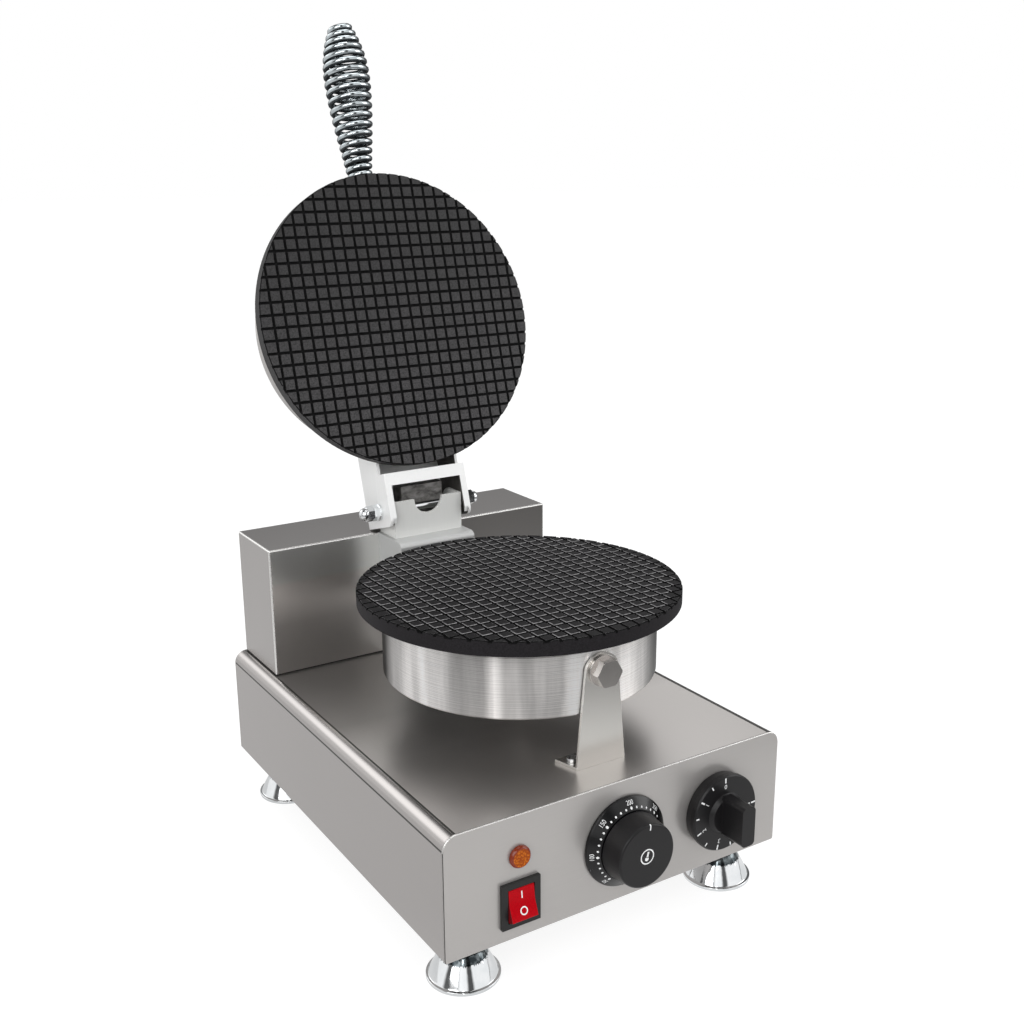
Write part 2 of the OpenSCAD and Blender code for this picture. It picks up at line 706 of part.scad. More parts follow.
module at_lamp() translate([switch_x, front_y, foot_h + lamp_z]) rotate([90, 0, 0]) children();

// Clear amber cap: a flat ring, a bevelled rim and a low face
module lamp_lens() color([0.85, 0.4, 0.08]) at_lamp() rotate_extrude($fn = 96)
    polygon([[0, 0], [lamp_d / 2, 0], [lamp_d / 2, 1.6], [lamp_d / 2 - 1, 3], [0, 3]]);

module lamp_body() color(black) at_lamp() {
    translate([0, 0, -24]) cylinder(r = lamp_d / 2 - 1.2, h = 24);
    translate([0, 0, -sheet - 3]) difference() {
        cylinder(r = lamp_d / 2 + 1.5, h = 3);
        translate([0, 0, -1]) cylinder(r = lamp_d / 2 - 1.15, h = 5);
    }
}

module at_switch() translate([switch_x, front_y, foot_h + switch_z]) children();

// Frame with a window for the rocker, and the case behind the panel
module switch_frame() color(black) at_switch() difference() {
    union() {
        translate([-switch_w / 2, -bezel_proud, -switch_h / 2]) cube([switch_w, bezel_proud, switch_h]);
        translate([-switch_w / 2 + 1.2, 0, -switch_h / 2 + 1.2])
            cube([switch_w - 2.4, 24, switch_h - 2.4]);
    }
    translate([-rocker_w / 2 - 0.3, -bezel_proud - 1, -rocker_r - 0.4])
        cube([rocker_w + 0.6, 14, 2 * rocker_r + 0.8]);
    translate([0, 2 - bezel_proud, 0]) bar_x(1.5 + turn_gap, -rocker_w / 2 - 1.5, rocker_w / 2 + 1.5);
}

// Rocker with two faces that meet in a shallow valley, tipped with its upper end in
module switch_rocker() color([0.8, 0.03, 0.06]) at_switch() translate([0, 2 - bezel_proud, 0])
    rotate([-rocker_tip, 0, 0]) {
        end_y = rocker_r * sin(24);
        end_z = rocker_r * cos(24);
        along_x(rocker_w) intersection() {
            circle(rocker_r);
            polygon([[7, -14], [7, 14], [-end_y + 2, 14], [-end_y, end_z], [-3, 0],
                [-end_y, -end_z], [-end_y + 2, -14]]);
        }
        bar_x(1.5, -rocker_w / 2 - 1.4, rocker_w / 2 + 1.4);
    }

// ---- Electrics in the housing ----

module terminal_block() color([0.85, 0.84, 0.8]) difference() {
    floor_z = foot_h + 2 * sheet;
    translate([block_x, block_y, floor_z]) cube([5 * block_pitch, block_d, block_h]);
    for (i = [0 : 4], y = [5, block_d - 5]) translate([block_x + (i + 0.5) * block_pitch,
        block_y + y, floor_z + block_h / 2]) cylinder(r = block_pitch / 4, h = block_h);
}

module at_gland() translate([gland_x, back_y, gland_z]) rotate([-90, 0, 0]) children();

module cable_gland() color(black) at_gland() difference() {
    union() {
        translate([0, 0, -12]) cylinder(r = 7.9, h = 12);
        hexagon(22, 6);
        rotate_extrude() polygon([[0, 6], [9.5, 6], [9.5, 12], [7.5, 17], [0, 17]]);
    }
    translate([0, 0, -13]) cylinder(d = gland_bore, h = 31);
}

module gland_nut() color(black) at_gland() translate([0, 0, -sheet - 5]) difference() {
    hexagon(22, 5);
    translate([0, 0, -1]) cylinder(r = 7.95, h = 7);
}

// ---- Feet ----

// Bell shaped foot: rim, sweep up to the neck and threaded stud
module foot() {
    neck_r = foot_stud_d / 2 + 4;
    neck_z = foot_h - 9;
    rotate_extrude() polygon(concat([[0, foot_rim_t], [foot_d / 2 - 4, foot_rim_t],
        [foot_d / 2 - 3, 0], [foot_d / 2, 0], [foot_d / 2, foot_rim_t]],
        [for (i = [0 : 10]) let (t = i / 10)
            [neck_r + (foot_d / 2 - foot_rim_w - neck_r) * pow(1 - t, 0.72),
                foot_rim_t + 0.3 + (neck_z - foot_rim_t - 0.3) * t]],
        [[neck_r - 1, neck_z + 0.8], [0, neck_z + 0.8]]));
    translate([0, 0, neck_z]) cylinder(d = foot_stud_d, h = foot_stud_top - neck_z);
}

module foot_at(sx, y) color(bright) translate([sx * (housing_w / 2 - foot_side), y, 0]) foot();

module foot_front_left() foot_at(-1, front_y + foot_front);
module foot_front_right() foot_at(1, front_y + foot_front);
module foot_back_left() foot_at(-1, back_y - foot_rear);
module foot_back_right() foot_at(1, back_y - foot_rear);

// A nut under the housing and one on the bottom cover for each foot
module foot_nuts() color(bright)
    each_foot() for (z = [foot_h + sheet - foot_nut_h, foot_h + 2 * sheet])
    translate([0, 0, z]) difference() {
        hexagon(foot_stud_d + 7, foot_nut_h);
        translate([0, 0, -1]) cylinder(r = foot_stud_d / 2 + turn_gap, h = foot_nut_h + 2);
    }

// ---- Yoke and hinge pin ----

module at_handle() translate([0, handle_y, handle_v]) rotate([handle_tilt, 0, 0]) children();

// Screws through the saddle into the drum, square to its curved wall
module at_yoke_screws() for (a = [-14, 14]) translate([0, drum_back - 9, reach])
    rotate([0, a, 0]) translate([0, 0, -drum_r - yoke_t]) rotate([180, 0, 0]) children();

// Side view of a cheek: heel, step behind the plate and a rounded lower front corner
module cheek_profile() {
    r = 5;
    translate([yoke_front, -heel + r]) square([yoke_back - yoke_front, yoke_step_v + heel - r]);
    translate([yoke_front + r, -heel]) square([yoke_back - yoke_front - r, r]);
    translate([yoke_front + r, -heel + r]) circle(r);
    translate([yoke_step, 0]) square([yoke_back - yoke_step, reach - drum_r + 12]);
}

// Side view of a front strip: its lower end is rounded about the pin, to swing clear of the pedestal
module strip_profile() {
    translate([yoke_front, 0]) square([yoke_t, window_v + 0.5]);
    intersection() {
        translate([yoke_front, -strip_end]) square([yoke_t, strip_end + 1]);
        circle(strip_sweep);
    }
}

module yoke() color(satin) in_head() difference() {
    union() {
        for (s = [-1, 1]) translate([s * (yoke_w - yoke_t) / 2, 0, 0])
            along_x(yoke_t) cheek_profile();
        // Back web
        translate([-yoke_w / 2, yoke_back - yoke_t, -heel])
            cube([yoke_w, yoke_t, reach - drum_r + 12 + heel]);
        // Front band over the window, and the strips down its sides
        translate([-yoke_w / 2, yoke_front, window_v])
            cube([yoke_w, yoke_t, yoke_step_v - window_v]);
        for (s = [-1, 1]) translate([s * (arm_in + yoke_w / 2) / 2, 0, 0])
            along_x(yoke_w / 2 - arm_in) strip_profile();
        // Saddle against the side of the drum
        intersection() {
            translate([0, 0, reach]) rotate([-90, 0, 0]) translate([0, 0, yoke_step])
                cylinder(r = drum_r + yoke_t, h = drum_back - 2 - yoke_step, $fn = 128);
            translate([-yoke_w / 2, yoke_step, reach - drum_r - yoke_t])
                cube([yoke_w, drum_back, 20]);
        }
    }
    translate([0, -50, reach]) bar_y_fine(drum_r + seat_gap, 120);
    bar_x(pin_r + 0.05, -yoke_w, yoke_w);
    at_yoke_screws() cylinder(r = m4_r + screw_gap, h = 12, center = true);
}

module bar_y_fine(r, d) rotate([-90, 0, 0]) cylinder(r = r, h = d, $fn = 128);

module yoke_screws() color(zinc) in_head() at_yoke_screws() pan_screw(8);

module hinge_pin() color(bright) in_head()
    bar_x(pin_r, -pin_nut_x - pin_nut_h - 6, pin_nut_x + pin_nut_h + 6);

module ring_x(r, x0, x1) difference() {
    bar_x(r, x0, x1);
    bar_x(pin_r + 0.05, x0 - 1, x1 + 1);
}

module pin_washers() color(bright) in_head() {
    ring_x(pin_d, -pin_nut_x, -yoke_w / 2);
    ring_x(pin_d, yoke_w / 2, pin_nut_x);
}

// A plain nut with a cap nut locked against it, standing on x = 0 and pointing along +X
module nut_pair() difference() {
    union() {
        rotate([0, 90, 0]) hexagon(pin_nut_af, pin_nut_h);
        translate([pin_nut_h, 0, 0]) rotate([0, 90, 0]) rotate(15) hexagon(pin_nut_af, cap_h - 5.2);
        translate([pin_nut_h + cap_h - pin_nut_af / 2 + 0.3, 0, 0]) sphere(d = pin_nut_af - 0.6);
    }
    bar_x(pin_r + 0.05, -1, pin_nut_h + 6.3);
}

module pin_nuts() color(bright) in_head() {
    translate([pin_nut_x, 0, 0]) nut_pair();
    translate([-pin_nut_x, 0, 0]) mirror([1, 0, 0]) nut_pair();
}

// ---- Handle ----

module handle_stud() color(bright) in_head() at_handle()
    translate([0, 0, -12]) cylinder(r = stud_r, h = 12 + coil_start + 28);

// A nut on each side of the drum's wall; the outer one carries the coil
module handle_nut() color(bright) in_head() at_handle()
    for (z = [0.8, -drum_wall - nut_h - 0.8]) translate([0, 0, z]) difference() {
        hexagon(nut_af, nut_h - 0.8);
        translate([0, 0, -1]) cylinder(r = stud_r + 0.05, h = nut_h + 1);
    }

// Wire wound in one helix, with flat ends
module handle_coil() color(bright) in_head() at_handle() polyhedron(
    points = [for (i = [0 : coil_steps], j = [0 : wire_seg - 1])
        coil_point(i / coil_steps, 360 * j / wire_seg)],
    faces = concat(
        [for (i = [0 : coil_steps - 1], j = [0 : wire_seg - 1])
            let (a = i * wire_seg, n = (j + 1) % wire_seg)
            [a + j, a + wire_seg + j, a + wire_seg + n, a + n]],
        [[for (j = [0 : wire_seg - 1]) j]],
        [[for (j = [wire_seg - 1 : -1 : 0]) coil_steps * wire_seg + j]]));

housing_shell();
front_panel();
back_panel();
bottom_cover();
cover_screws();
riser_cover();
riser_back();
riser_screws();
pedestal_cover();
hinge_bracket();
bracket_screws();
stop_block();
hinge_bushes();
lower_plate();
lower_element();
lower_clamp();
lower_insulation();
lower_drum();
lower_stud();
thermostat_bulb();
support_bracket();
support_bolt();
support_washer();
support_screws();
conduit_nipple();
conduit_nuts();
thermostat_body();
thermostat_bezel();
thermostat_spindle();
thermostat_knob();
timer_body();
timer_spindle();
timer_knob();
lamp_body();
lamp_lens();
switch_frame();
switch_rocker();
terminal_block();
cable_gland();
gland_nut();
foot_front_left();
foot_front_right();
foot_back_left();
foot_back_right();
foot_nuts();
upper_plate();
upper_element();
upper_clamp();
upper_insulation();
upper_drum();
upper_stud();
yoke();
yoke_screws();
hinge_pin();
pin_washers();
pin_nuts();
handle_stud();
handle_nut();
handle_coil();
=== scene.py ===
# %% [markdown]
# # A waffle cone maker
# This lesson dresses a finished set of solids: a stainless housing, two round grill plates, a hinged
# head with a wound wire handle, two dials, a switch and a lamp. Each solid is already in its place,
# so the work here is edges, surfaces, printed marks, light and a camera.
# The first step loads the solids and gives a helper that reads the box each one fills. No finish may
# grow it.

# %% Load the solids
import json
import math
import bmesh
import bpy
from mathutils import Matrix, Vector


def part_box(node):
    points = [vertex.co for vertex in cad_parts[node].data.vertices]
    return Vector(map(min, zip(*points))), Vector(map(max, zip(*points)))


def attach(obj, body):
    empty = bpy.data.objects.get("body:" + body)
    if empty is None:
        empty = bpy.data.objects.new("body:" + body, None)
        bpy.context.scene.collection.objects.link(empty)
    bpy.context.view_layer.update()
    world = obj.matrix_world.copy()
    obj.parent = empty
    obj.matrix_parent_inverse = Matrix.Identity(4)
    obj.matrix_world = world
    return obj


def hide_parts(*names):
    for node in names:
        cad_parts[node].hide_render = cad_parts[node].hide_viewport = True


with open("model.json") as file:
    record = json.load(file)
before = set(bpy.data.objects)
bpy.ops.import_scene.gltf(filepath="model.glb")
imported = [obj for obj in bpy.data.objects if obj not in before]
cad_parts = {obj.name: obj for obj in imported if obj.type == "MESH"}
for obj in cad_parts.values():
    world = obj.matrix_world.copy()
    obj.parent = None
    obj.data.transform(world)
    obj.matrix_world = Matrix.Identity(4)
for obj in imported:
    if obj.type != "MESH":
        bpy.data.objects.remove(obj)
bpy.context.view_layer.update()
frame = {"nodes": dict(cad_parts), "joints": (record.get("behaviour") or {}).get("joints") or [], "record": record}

nodes, record = frame["nodes"], frame["record"]

# %% [markdown]
# Most places can be read from the solids themselves. The front face of the housing carries the
# controls, the hinge axis carries the head, and each control has an axis of its own. Reading them
# once here keeps every later piece on what carries it, which is safer than typing the numbers.
# The head stands open past upright, and how far is what its joint turns beyond a quarter turn.
# Two small helpers are used all through: the middle of a solid's box, and a new object in the scene.

# %% Places read from the solids
MM = 0.001
front_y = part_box("front_panel")[0].y
joints = {joint["name"]: joint for joint in frame["joints"]}
hinge, thermostat, timer, rocker_axis = (Vector(joints[name]["pos_m"]) for name in (
    "lid_hinge", "thermostat_turn", "timer_turn", "power_rocker"))
OPEN_LEAN = math.radians(joints["lid_hinge"]["range_deg"][1] - 90)
head_frame = Matrix.Translation(hinge) @ Matrix.Rotation(-OPEN_LEAN, 4, "X")

def middle_of(node):
    low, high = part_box(node)
    return (low + high) / 2

def add_object(name, data):
    made = bpy.data.objects.new(name, data)
    bpy.context.scene.collection.objects.link(made)
    return made

print("front:", round(front_y, 4), "lean:", round(math.degrees(OPEN_LEAN), 2))

# %% [markdown]
# ## Camera
# The camera looks down on the machine from its left front corner. Three angles and a place describe
# it: a turn round the upright, a tilt down and a very small roll. Building the turn from its own axes
# avoids guessing at an order of rotations.

# %% Set up the camera
turn, tilt, roll = math.radians(32.194), math.radians(15.635), math.radians(-0.408)
eye = Vector((-0.4037, front_y - 0.5186, 0.4551))
forward = Vector((math.sin(turn) * math.cos(tilt), math.cos(turn) * math.cos(tilt), -math.sin(tilt)))
level = Vector((math.cos(turn), -math.sin(turn), 0))
upright = level.cross(forward)
right = level * math.cos(roll) + upright * math.sin(roll)
up = upright * math.cos(roll) - level * math.sin(roll)
camera = add_object("camera", bpy.data.cameras.new("camera"))
camera.data.sensor_width = 36
camera.data.lens = 43.253
camera.data.clip_start, camera.data.clip_end = 0.01, 60
camera.matrix_world = Matrix((
    (right.x, up.x, -forward.x, eye.x), (right.y, up.y, -forward.y, eye.y),
    (right.z, up.z, -forward.z, eye.z), (0, 0, 0, 1)))
bpy.context.scene.camera = camera
bpy.context.scene.view_settings.view_transform = "Standard"
print("camera at", [round(v, 3) for v in camera.matrix_world.translation])

# %% [markdown]
# ## Light
# Bare metal shows what stands round it, so its light is mostly the room. Soft boxes stand on the left,
# on the right and above, and a tall narrow one stands in front: a lathe-turned drum draws that one out
# into a bright upright streak.

# %% Hang the soft boxes
def soft_box(name, place, aim, width, height, power):
    lamp = bpy.data.lights.new(name, "AREA")
    lamp.shape, lamp.size, lamp.size_y, lamp.energy = "RECTANGLE", width, height, power
    box = add_object(name, lamp)
    box.location = place
    box.rotation_euler = (Vector(aim) - Vector(place)).to_track_quat("-Z", "Y").to_euler()

soft_box("box_left", (-1.6, -0.9, 1.1), (0, 0, 0.2), 1.0, 1.4, 11)
soft_box("box_right", (1.7, -0.8, 1.0), (0, 0, 0.2), 0.9, 1.4, 8)
soft_box("box_above", (0.1, 0.1, 2.2), (0, 0, 0.1), 1.6, 1.4, 14)
soft_box("box_front", (-0.86, -1.40, 1.30), (0, -0.05, 0.2), 0.16, 0.9, 4)

# %% [markdown]
# The room is seen only in the metal. A foot or a wire shows all of it, from the far left round to the
# far right, so its tones are set by bearing: 0 is towards the camera, -90 is to the left and 180 is
# behind the machine. White banners and black gaps take turns, as in a photographer's studio, because
# chrome looks like chrome only where light stands hard against dark. Two more tables hold for what is
# behind and for the far floor: a level sheet mirrors the first, dark low down and white higher up.

# %% Tones of the room
ROUND = ((-180, 0.25), (-150, 0.30), (-125, 0.95), (-66, 1.05), (-57, 0.12), (-43, 0.12), (-36, 0.60),
         (-16, 0.60), (-9, 1.20), (12, 1.10), (19, 0.10), (31, 0.10), (38, 1.05), (100, 1.05), (124, 0.70),
         (132, 0.12), (152, 0.12), (180, 0.25))
FAR_FLOOR = ((-180, 0.10), (-145, 0.14), (-125, 0.75), (-85, 0.80), (-45, 0.40), (20, 0.30), (45, 0.18),
             (85, 0.18), (110, 0.35), (150, 0.12), (180, 0.10))
BEHIND = ((-1.0, 0.08), (0.12, 0.08), (0.24, 0.11), (0.264, 0.17), (0.34, 0.62), (0.43, 1.10), (0.52, 1.25),
          (0.78, 1.0), (0.9, 0.3))
print("tones:", len(ROUND), len(FAR_FLOOR), len(BEHIND))

# %% [markdown]
# The helpers work in any node tree. One fills a node's inputs with values or with what other nodes
# give, and the rest are built on it. A bearing is the angle of a direction round the upright, turned into
# 0 to 1, and a table of tones is a colour ramp. The ramps hold half of each tone, as a ramp stops at 1,
# and the light that uses them is doubled.

# %% Helpers for tones
def node_of(tree, kind, **settings):
    node = tree.nodes.new("ShaderNode" + kind)
    for key, value in settings.items():
        setattr(node, key, value)
    return node

def feed(tree, node, *values, **named):
    """Fills a node's inputs in order or by name, each with a value or with another node's output."""
    for socket, value in [*zip(node.inputs, values), *((node.inputs[key], named[key]) for key in named)]:
        if isinstance(value, bpy.types.NodeSocket):
            tree.links.new(value, socket)
        else:
            socket.default_value = value
    return node.outputs[0]

def computed(tree, operation, *values):
    return feed(tree, node_of(tree, "Math", operation=operation), *values)

def between(tree, value, low, high, start=0.0, stop=1.0):
    """Turns a number in one range into a number in another."""
    return feed(tree, node_of(tree, "MapRange"), value, low, high, start, stop)

def table(tree, value, rows, low, high):
    """A tone read from a table; low and high are the ends of what the table's first numbers span."""
    ramp = node_of(tree, "ValToRGB")
    stops = ramp.color_ramp.elements
    while len(stops) < len(rows):
        stops.new(0.5)
    for stop, (at, tone) in zip(stops, rows):
        stop.position, stop.color = (at - low) / (high - low), (tone / 2, tone / 2, tone / 2, 1)
    return feed(tree, ramp, value)

def mixed(tree, fac, low, high):
    return feed(tree, node_of(tree, "Mix"), Factor=fac, A=low, B=high)

def place_in(tree):
    return node_of(tree, "TexCoord").outputs["Object"]

def bearing(tree, vector):
    """The bearing, how far to the right the point lies, and its height."""
    parts = node_of(tree, "SeparateXYZ")
    feed(tree, parts, vector)
    ahead, beside = (Vector((-math.sin(turn), -math.cos(turn))), Vector((math.cos(turn), -math.sin(turn))))
    along = [computed(tree, "ADD", computed(tree, "MULTIPLY", parts.outputs["X"], way.x),
                      computed(tree, "MULTIPLY", parts.outputs["Y"], way.y)) for way in (beside, ahead)]
    angle = computed(tree, "ARCTAN2", *along)
    return computed(tree, "MULTIPLY_ADD", angle, 0.5 / math.pi, 0.5), along[0], parts.outputs["Z"]

print("tone helpers ready")

# %% [markdown]
# In the world, the tones by bearing hold all round, except behind, where the tones by height take over.
# Above, everything fades to a dark ceiling, which gives wire and nuts their dark upper outline. A bright
# banner stands behind on the left: the rolled edge of the housing mirrors it as one long light band.
# Each pair of numbers says where a change begins and where it is complete.

# %% Paint the walls
TO_THE_BACK, CEILING, CEILING_TONE = (0.435, 0.470), (0.66, 0.86), 0.22
BANNER_LEFT, BANNER_RIGHT, BANNER_TONE = (0.100, 0.122), (0.215, 0.19), 0.55
BANNER_FOOT, BANNER_HEAD = (0.28, 0.36), (0.74, 0.66)
room = bpy.data.worlds.new("room")
bpy.context.scene.world = room
room.use_nodes = True
sky = room.node_tree
sky.nodes.clear()
where = node_of(sky, "TexCoord").outputs["Generated"]
facing, _, height = bearing(sky, where)
offset = computed(sky, "ABSOLUTE", computed(sky, "SUBTRACT", facing, 0.5))
walls = mixed(sky, between(sky, offset, *TO_THE_BACK), table(sky, facing, ROUND, -180, 180),
              table(sky, between(sky, height, -1, 1), BEHIND, -1, 1))
ceiling = between(sky, height, *CEILING, 1.0, CEILING_TONE)
walls = computed(sky, "MULTIPLY", walls, ceiling)
sideways = computed(sky, "MULTIPLY", between(sky, facing, *BANNER_LEFT), between(sky, facing, *BANNER_RIGHT))
upwards = computed(sky, "MULTIPLY", between(sky, height, *BANNER_FOOT), between(sky, height, *BANNER_HEAD))
banner = computed(sky, "MULTIPLY", sideways, upwards)
walls = computed(sky, "MULTIPLY_ADD", banner, BANNER_TONE, walls)
print("walls painted with", len(sky.nodes), "nodes")

# %% [markdown]
# The walls are used for mirror rays alone. Rough surfaces are lit by one even, soft white, and the eye
# sees plain white, so a light path node tells the three apart.

# %% Use the walls
def glow(colour, strength):
    return feed(sky, node_of(sky, "Background"), colour, strength)

def ray_kinds(tree):
    """What looks: 1 for the eye, then 1 for a mirror or clear plastic."""
    rays = node_of(tree, "LightPath").outputs
    off_a_surface = computed(tree, "MAXIMUM", rays["Is Glossy Ray"], rays["Is Transmission Ray"])
    return rays["Is Camera Ray"], off_a_surface

def blended(tree, fac, low, high):
    return feed(tree, node_of(tree, "MixShader"), fac, low, high)

WHITE = (1, 1, 1, 1)
fill, seen, mirrored = glow(WHITE, 0.62), glow(WHITE, 1.0), glow(walls, 2.0)
to_the_eye, in_a_mirror = ray_kinds(sky)
surroundings = blended(sky, to_the_eye, blended(sky, in_a_mirror, fill, mirrored), seen)
sky.links.new(surroundings, node_of(sky, "OutputWorld").inputs["Surface"])
print("room lit")

# %% [markdown]
# The floor is a wide white sheet. To the eye it is mostly its own white, mixed with some matt white that
# keeps the soft shadow under the feet. In mirrors it is a little darker on the left than on the right,
# and further out it takes the tones of the far floor. To all other rays it is plain matt white.

# %% Lay the floor
NEAR_TO_FAR, LEFT_TO_RIGHT, LEFT_TONE, RIGHT_TONE = (0.40, 0.50), (-0.10, 0.08), 0.37, 0.47
EYE_WHITE, EYE_SHARE, MIRROR_WHITE, MIRROR_SHARE = 1.2, 0.7, 1.9, 0.9
floor_mesh = bpy.data.meshes.new("floor")
shape = bmesh.new()
bmesh.ops.create_grid(shape, x_segments=1, y_segments=1, size=20)
shape.to_mesh(floor_mesh)
shape.free()
floor = add_object("floor", floor_mesh)
floor_white = bpy.data.materials.new("floor_white")
floor_white.use_nodes = True
tree = floor_white.node_tree
matt = tree.nodes["Principled BSDF"]
matt.inputs["Base Color"].default_value = (0.90, 0.90, 0.90, 1)
matt.inputs["Roughness"].default_value = 0.9
matt.inputs["Specular IOR Level"].default_value = 0
where = place_in(tree)
facing, beside, _ = bearing(tree, where)
reach = node_of(tree, "VectorMath", operation="LENGTH")
feed(tree, reach, where)
tone = mixed(tree, between(tree, reach.outputs["Value"], *NEAR_TO_FAR),
             between(tree, beside, *LEFT_TO_RIGHT, LEFT_TONE, RIGHT_TONE),
             table(tree, facing, FAR_FLOOR, -180, 180))
to_the_eye, in_a_mirror = ray_kinds(tree)
strength = computed(tree, "ADD", computed(tree, "MULTIPLY", to_the_eye, EYE_WHITE), computed(
    tree, "MULTIPLY", in_a_mirror, computed(tree, "MULTIPLY", tone, MIRROR_WHITE)))
own_white = feed(tree, node_of(tree, "Emission"), Strength=strength)
share = computed(tree, "ADD", computed(tree, "MULTIPLY", to_the_eye, EYE_SHARE),
                 computed(tree, "MULTIPLY", in_a_mirror, MIRROR_SHARE))
tree.links.new(blended(tree, share, matt.outputs[0], own_white),
               tree.nodes["Material Output"].inputs["Surface"])
floor_mesh.materials.append(floor_white)
print("floor laid:", tuple(round(v, 1) for v in floor.dimensions))

# %% [markdown]
# ## Finishes
# A finish is a small node tree on Blender's Principled shader. The helpers below are used by all of
# them: one makes the shader, one adds a fine pattern, and others turn a pattern into tone or bump.
# All patterns read Object coordinates, which are the same on every solid, so grain keeps one scale.
# Most of a noise lies between the two numbers of NOISE_SPAN.

# %% Helpers for finishes
NOISE_SPAN = (0.3, 0.7)

def new_finish(name, colour, rough, metal=0.0, **sockets):
    finish = bpy.data.materials.new(name)
    finish.use_nodes = True
    shader = finish.node_tree.nodes["Principled BSDF"]
    shader.inputs["Base Color"].default_value = (*colour, 1)
    shader.inputs["Roughness"].default_value = rough
    shader.inputs["Metallic"].default_value = metal
    for socket, value in sockets.items():
        shader.inputs[socket.replace("_", " ")].default_value = value
    return finish, shader

def pattern(finish, scale, detail=3.0, rough=0.6, distort=0.0):
    """Noise over Object coordinates, stretched by one scale for each axis."""
    tree = finish.node_tree
    stretched = feed(tree, node_of(tree, "Mapping"), place_in(tree), Scale=scale)
    return feed(tree, node_of(tree, "TexNoise"), stretched, Scale=1.0, Detail=detail, Roughness=rough,
                Distortion=distort)

def spread(finish, fac, socket, low, high):
    """Lets a pattern drive a number socket between two values."""
    finish.node_tree.links.new(between(finish.node_tree, fac, *NOISE_SPAN, low, high), socket)

def tint(finish, fac, shader, low, high, start=NOISE_SPAN[0], stop=NOISE_SPAN[1]):
    """Lets a pattern run the shader's colour from one colour to another."""
    ramp = node_of(finish.node_tree, "ValToRGB")
    for end, place, colour in zip(ramp.color_ramp.elements, (start, stop), (low, high)):
        end.position, end.color = place, (*colour, 1)
    finish.node_tree.links.new(feed(finish.node_tree, ramp, fac), shader.inputs["Base Color"])

def relief(finish, fac, shader, strength, depth):
    """Lets a pattern raise the surface."""
    tree = finish.node_tree
    bump = feed(tree, node_of(tree, "Bump"), Strength=strength, Distance=depth, Height=fac)
    feed(tree, shader, Normal=bump)

def mottled(name, colour, rough, metal, scale, low, high, span=NOISE_SPAN, **sockets):
    """A finish whose colour alone varies, in patches as large as the scale is small."""
    finish, shader = new_finish(name, colour, rough, metal, **sockets)
    tint(finish, pattern(finish, (scale,) * 3), shader, low, high, *span)
    return finish

def multiplied(tree, vector, factors):
    return feed(tree, node_of(tree, "VectorMath", operation="MULTIPLY"), vector, factors)

def toned(finish, axis, low, high, start, stop):
    """Makes a finish paler or darker along one of the object's axes."""
    tree = finish.node_tree
    parts = node_of(tree, "SeparateXYZ")
    feed(tree, parts, place_in(tree))
    base = tree.nodes["Principled BSDF"].inputs["Base Color"]
    factor = between(tree, parts.outputs[axis], low, high, start, stop)
    tree.links.new(multiplied(tree, base.links[0].from_socket, factor), base)

def shade(colour, factor):
    return tuple(min(c * factor, 1) for c in colour)

print("helpers ready")

# %% [markdown]
# The stainless sheet is finely brushed: bare metal with hair-fine lines all in one direction. The
# lines are noise stretched a few hundred times along the brushing. They change the tone and the
# roughness a little. A slow, broad noise is added, because rolled sheet is never quite even.

# %% Brushed sheet
def brushed(name, colour, rough, grain, contrast=0.03, metal=1.0):
    finish, shader = new_finish(name, colour, rough, metal)
    lines, clouds = pattern(finish, grain, 3.0), pattern(finish, (7, 7, 7), 2.0)
    both = mixed(finish.node_tree, 0.35, lines, clouds)
    tint(finish, both, shader, shade(colour, 1 - contrast), shade(colour, 1 + contrast))
    spread(finish, lines, shader.inputs["Roughness"], rough * (1 - 2 * contrast), rough * (1 + 2 * contrast))
    relief(finish, lines, shader, 1.5 * contrast, 0.00001)
    return finish

stainless_across = brushed("stainless_brushed_across", (0.475, 0.455, 0.442), 0.24, (10, 1700, 1700))
stainless_back = brushed("stainless_brushed_back", (0.470, 0.448, 0.436), 0.24, (1700, 10, 1700))
stainless_top_painted_light = brushed("stainless_brushed_top", (0.525, 0.503, 0.487), 0.36, (1700, 10, 1700), 0.02, 0.93)
# Painted light: the riser's front is a paler copy of the stainless sheet, and its top shelf a darker copy, a
# painted shade.
stainless_riser_painted_light = brushed("stainless_brushed_riser", (0.64, 0.613, 0.592), 0.30, (10, 900, 900), 0.008)
stainless_front = brushed("stainless_brushed_front", (0.46, 0.443, 0.43), 0.30, (10, 1700, 1700), 0.02, 0.5)
stainless_shelf_painted_shade = brushed("stainless_brushed_shelf", (0.33, 0.315, 0.308), 0.28, (10, 900, 900), 0.008)
# Painted reflection: a near-black copy of the sheet, laid in strips beside the rolled edge where the room it
# mirrors looks dark.
roll_painted_reflection = brushed("roll_painted_reflection", (0.10, 0.098, 0.094), 0.40, (1700, 10, 1700))
satin_dark = brushed("satin_steel_dark", (0.53, 0.535, 0.53), 0.45, (1200, 1200, 60), 0.02, 0.35)
satin = brushed("satin_steel", (0.80, 0.805, 0.785), 0.45, (1200, 1200, 60), 0.02, 0.2)
satin_light = brushed("satin_steel_light", (0.93, 0.935, 0.93), 0.42, (1200, 1200, 60), 0.02, 0.2)
bracket_steel = brushed("bracket_steel", (0.70, 0.685, 0.655), 0.26, (1200, 1200, 40), 0.015)
# Painted light and shade: the top is painted paler towards the front and darker towards the back.
toned(stainless_top_painted_light, "Y", -0.07, -0.01, 1.30, 0.72)
# Painted light and shade: the riser's front is painted paler higher up and much darker towards its right.
toned(stainless_riser_painted_light, "Z", 0.145, 0.178, 1.0, 1.65)
toned(stainless_riser_painted_light, "X", -0.02, 0.03, 1.0, 0.26)
print("sheet finishes:", len(bpy.data.materials))
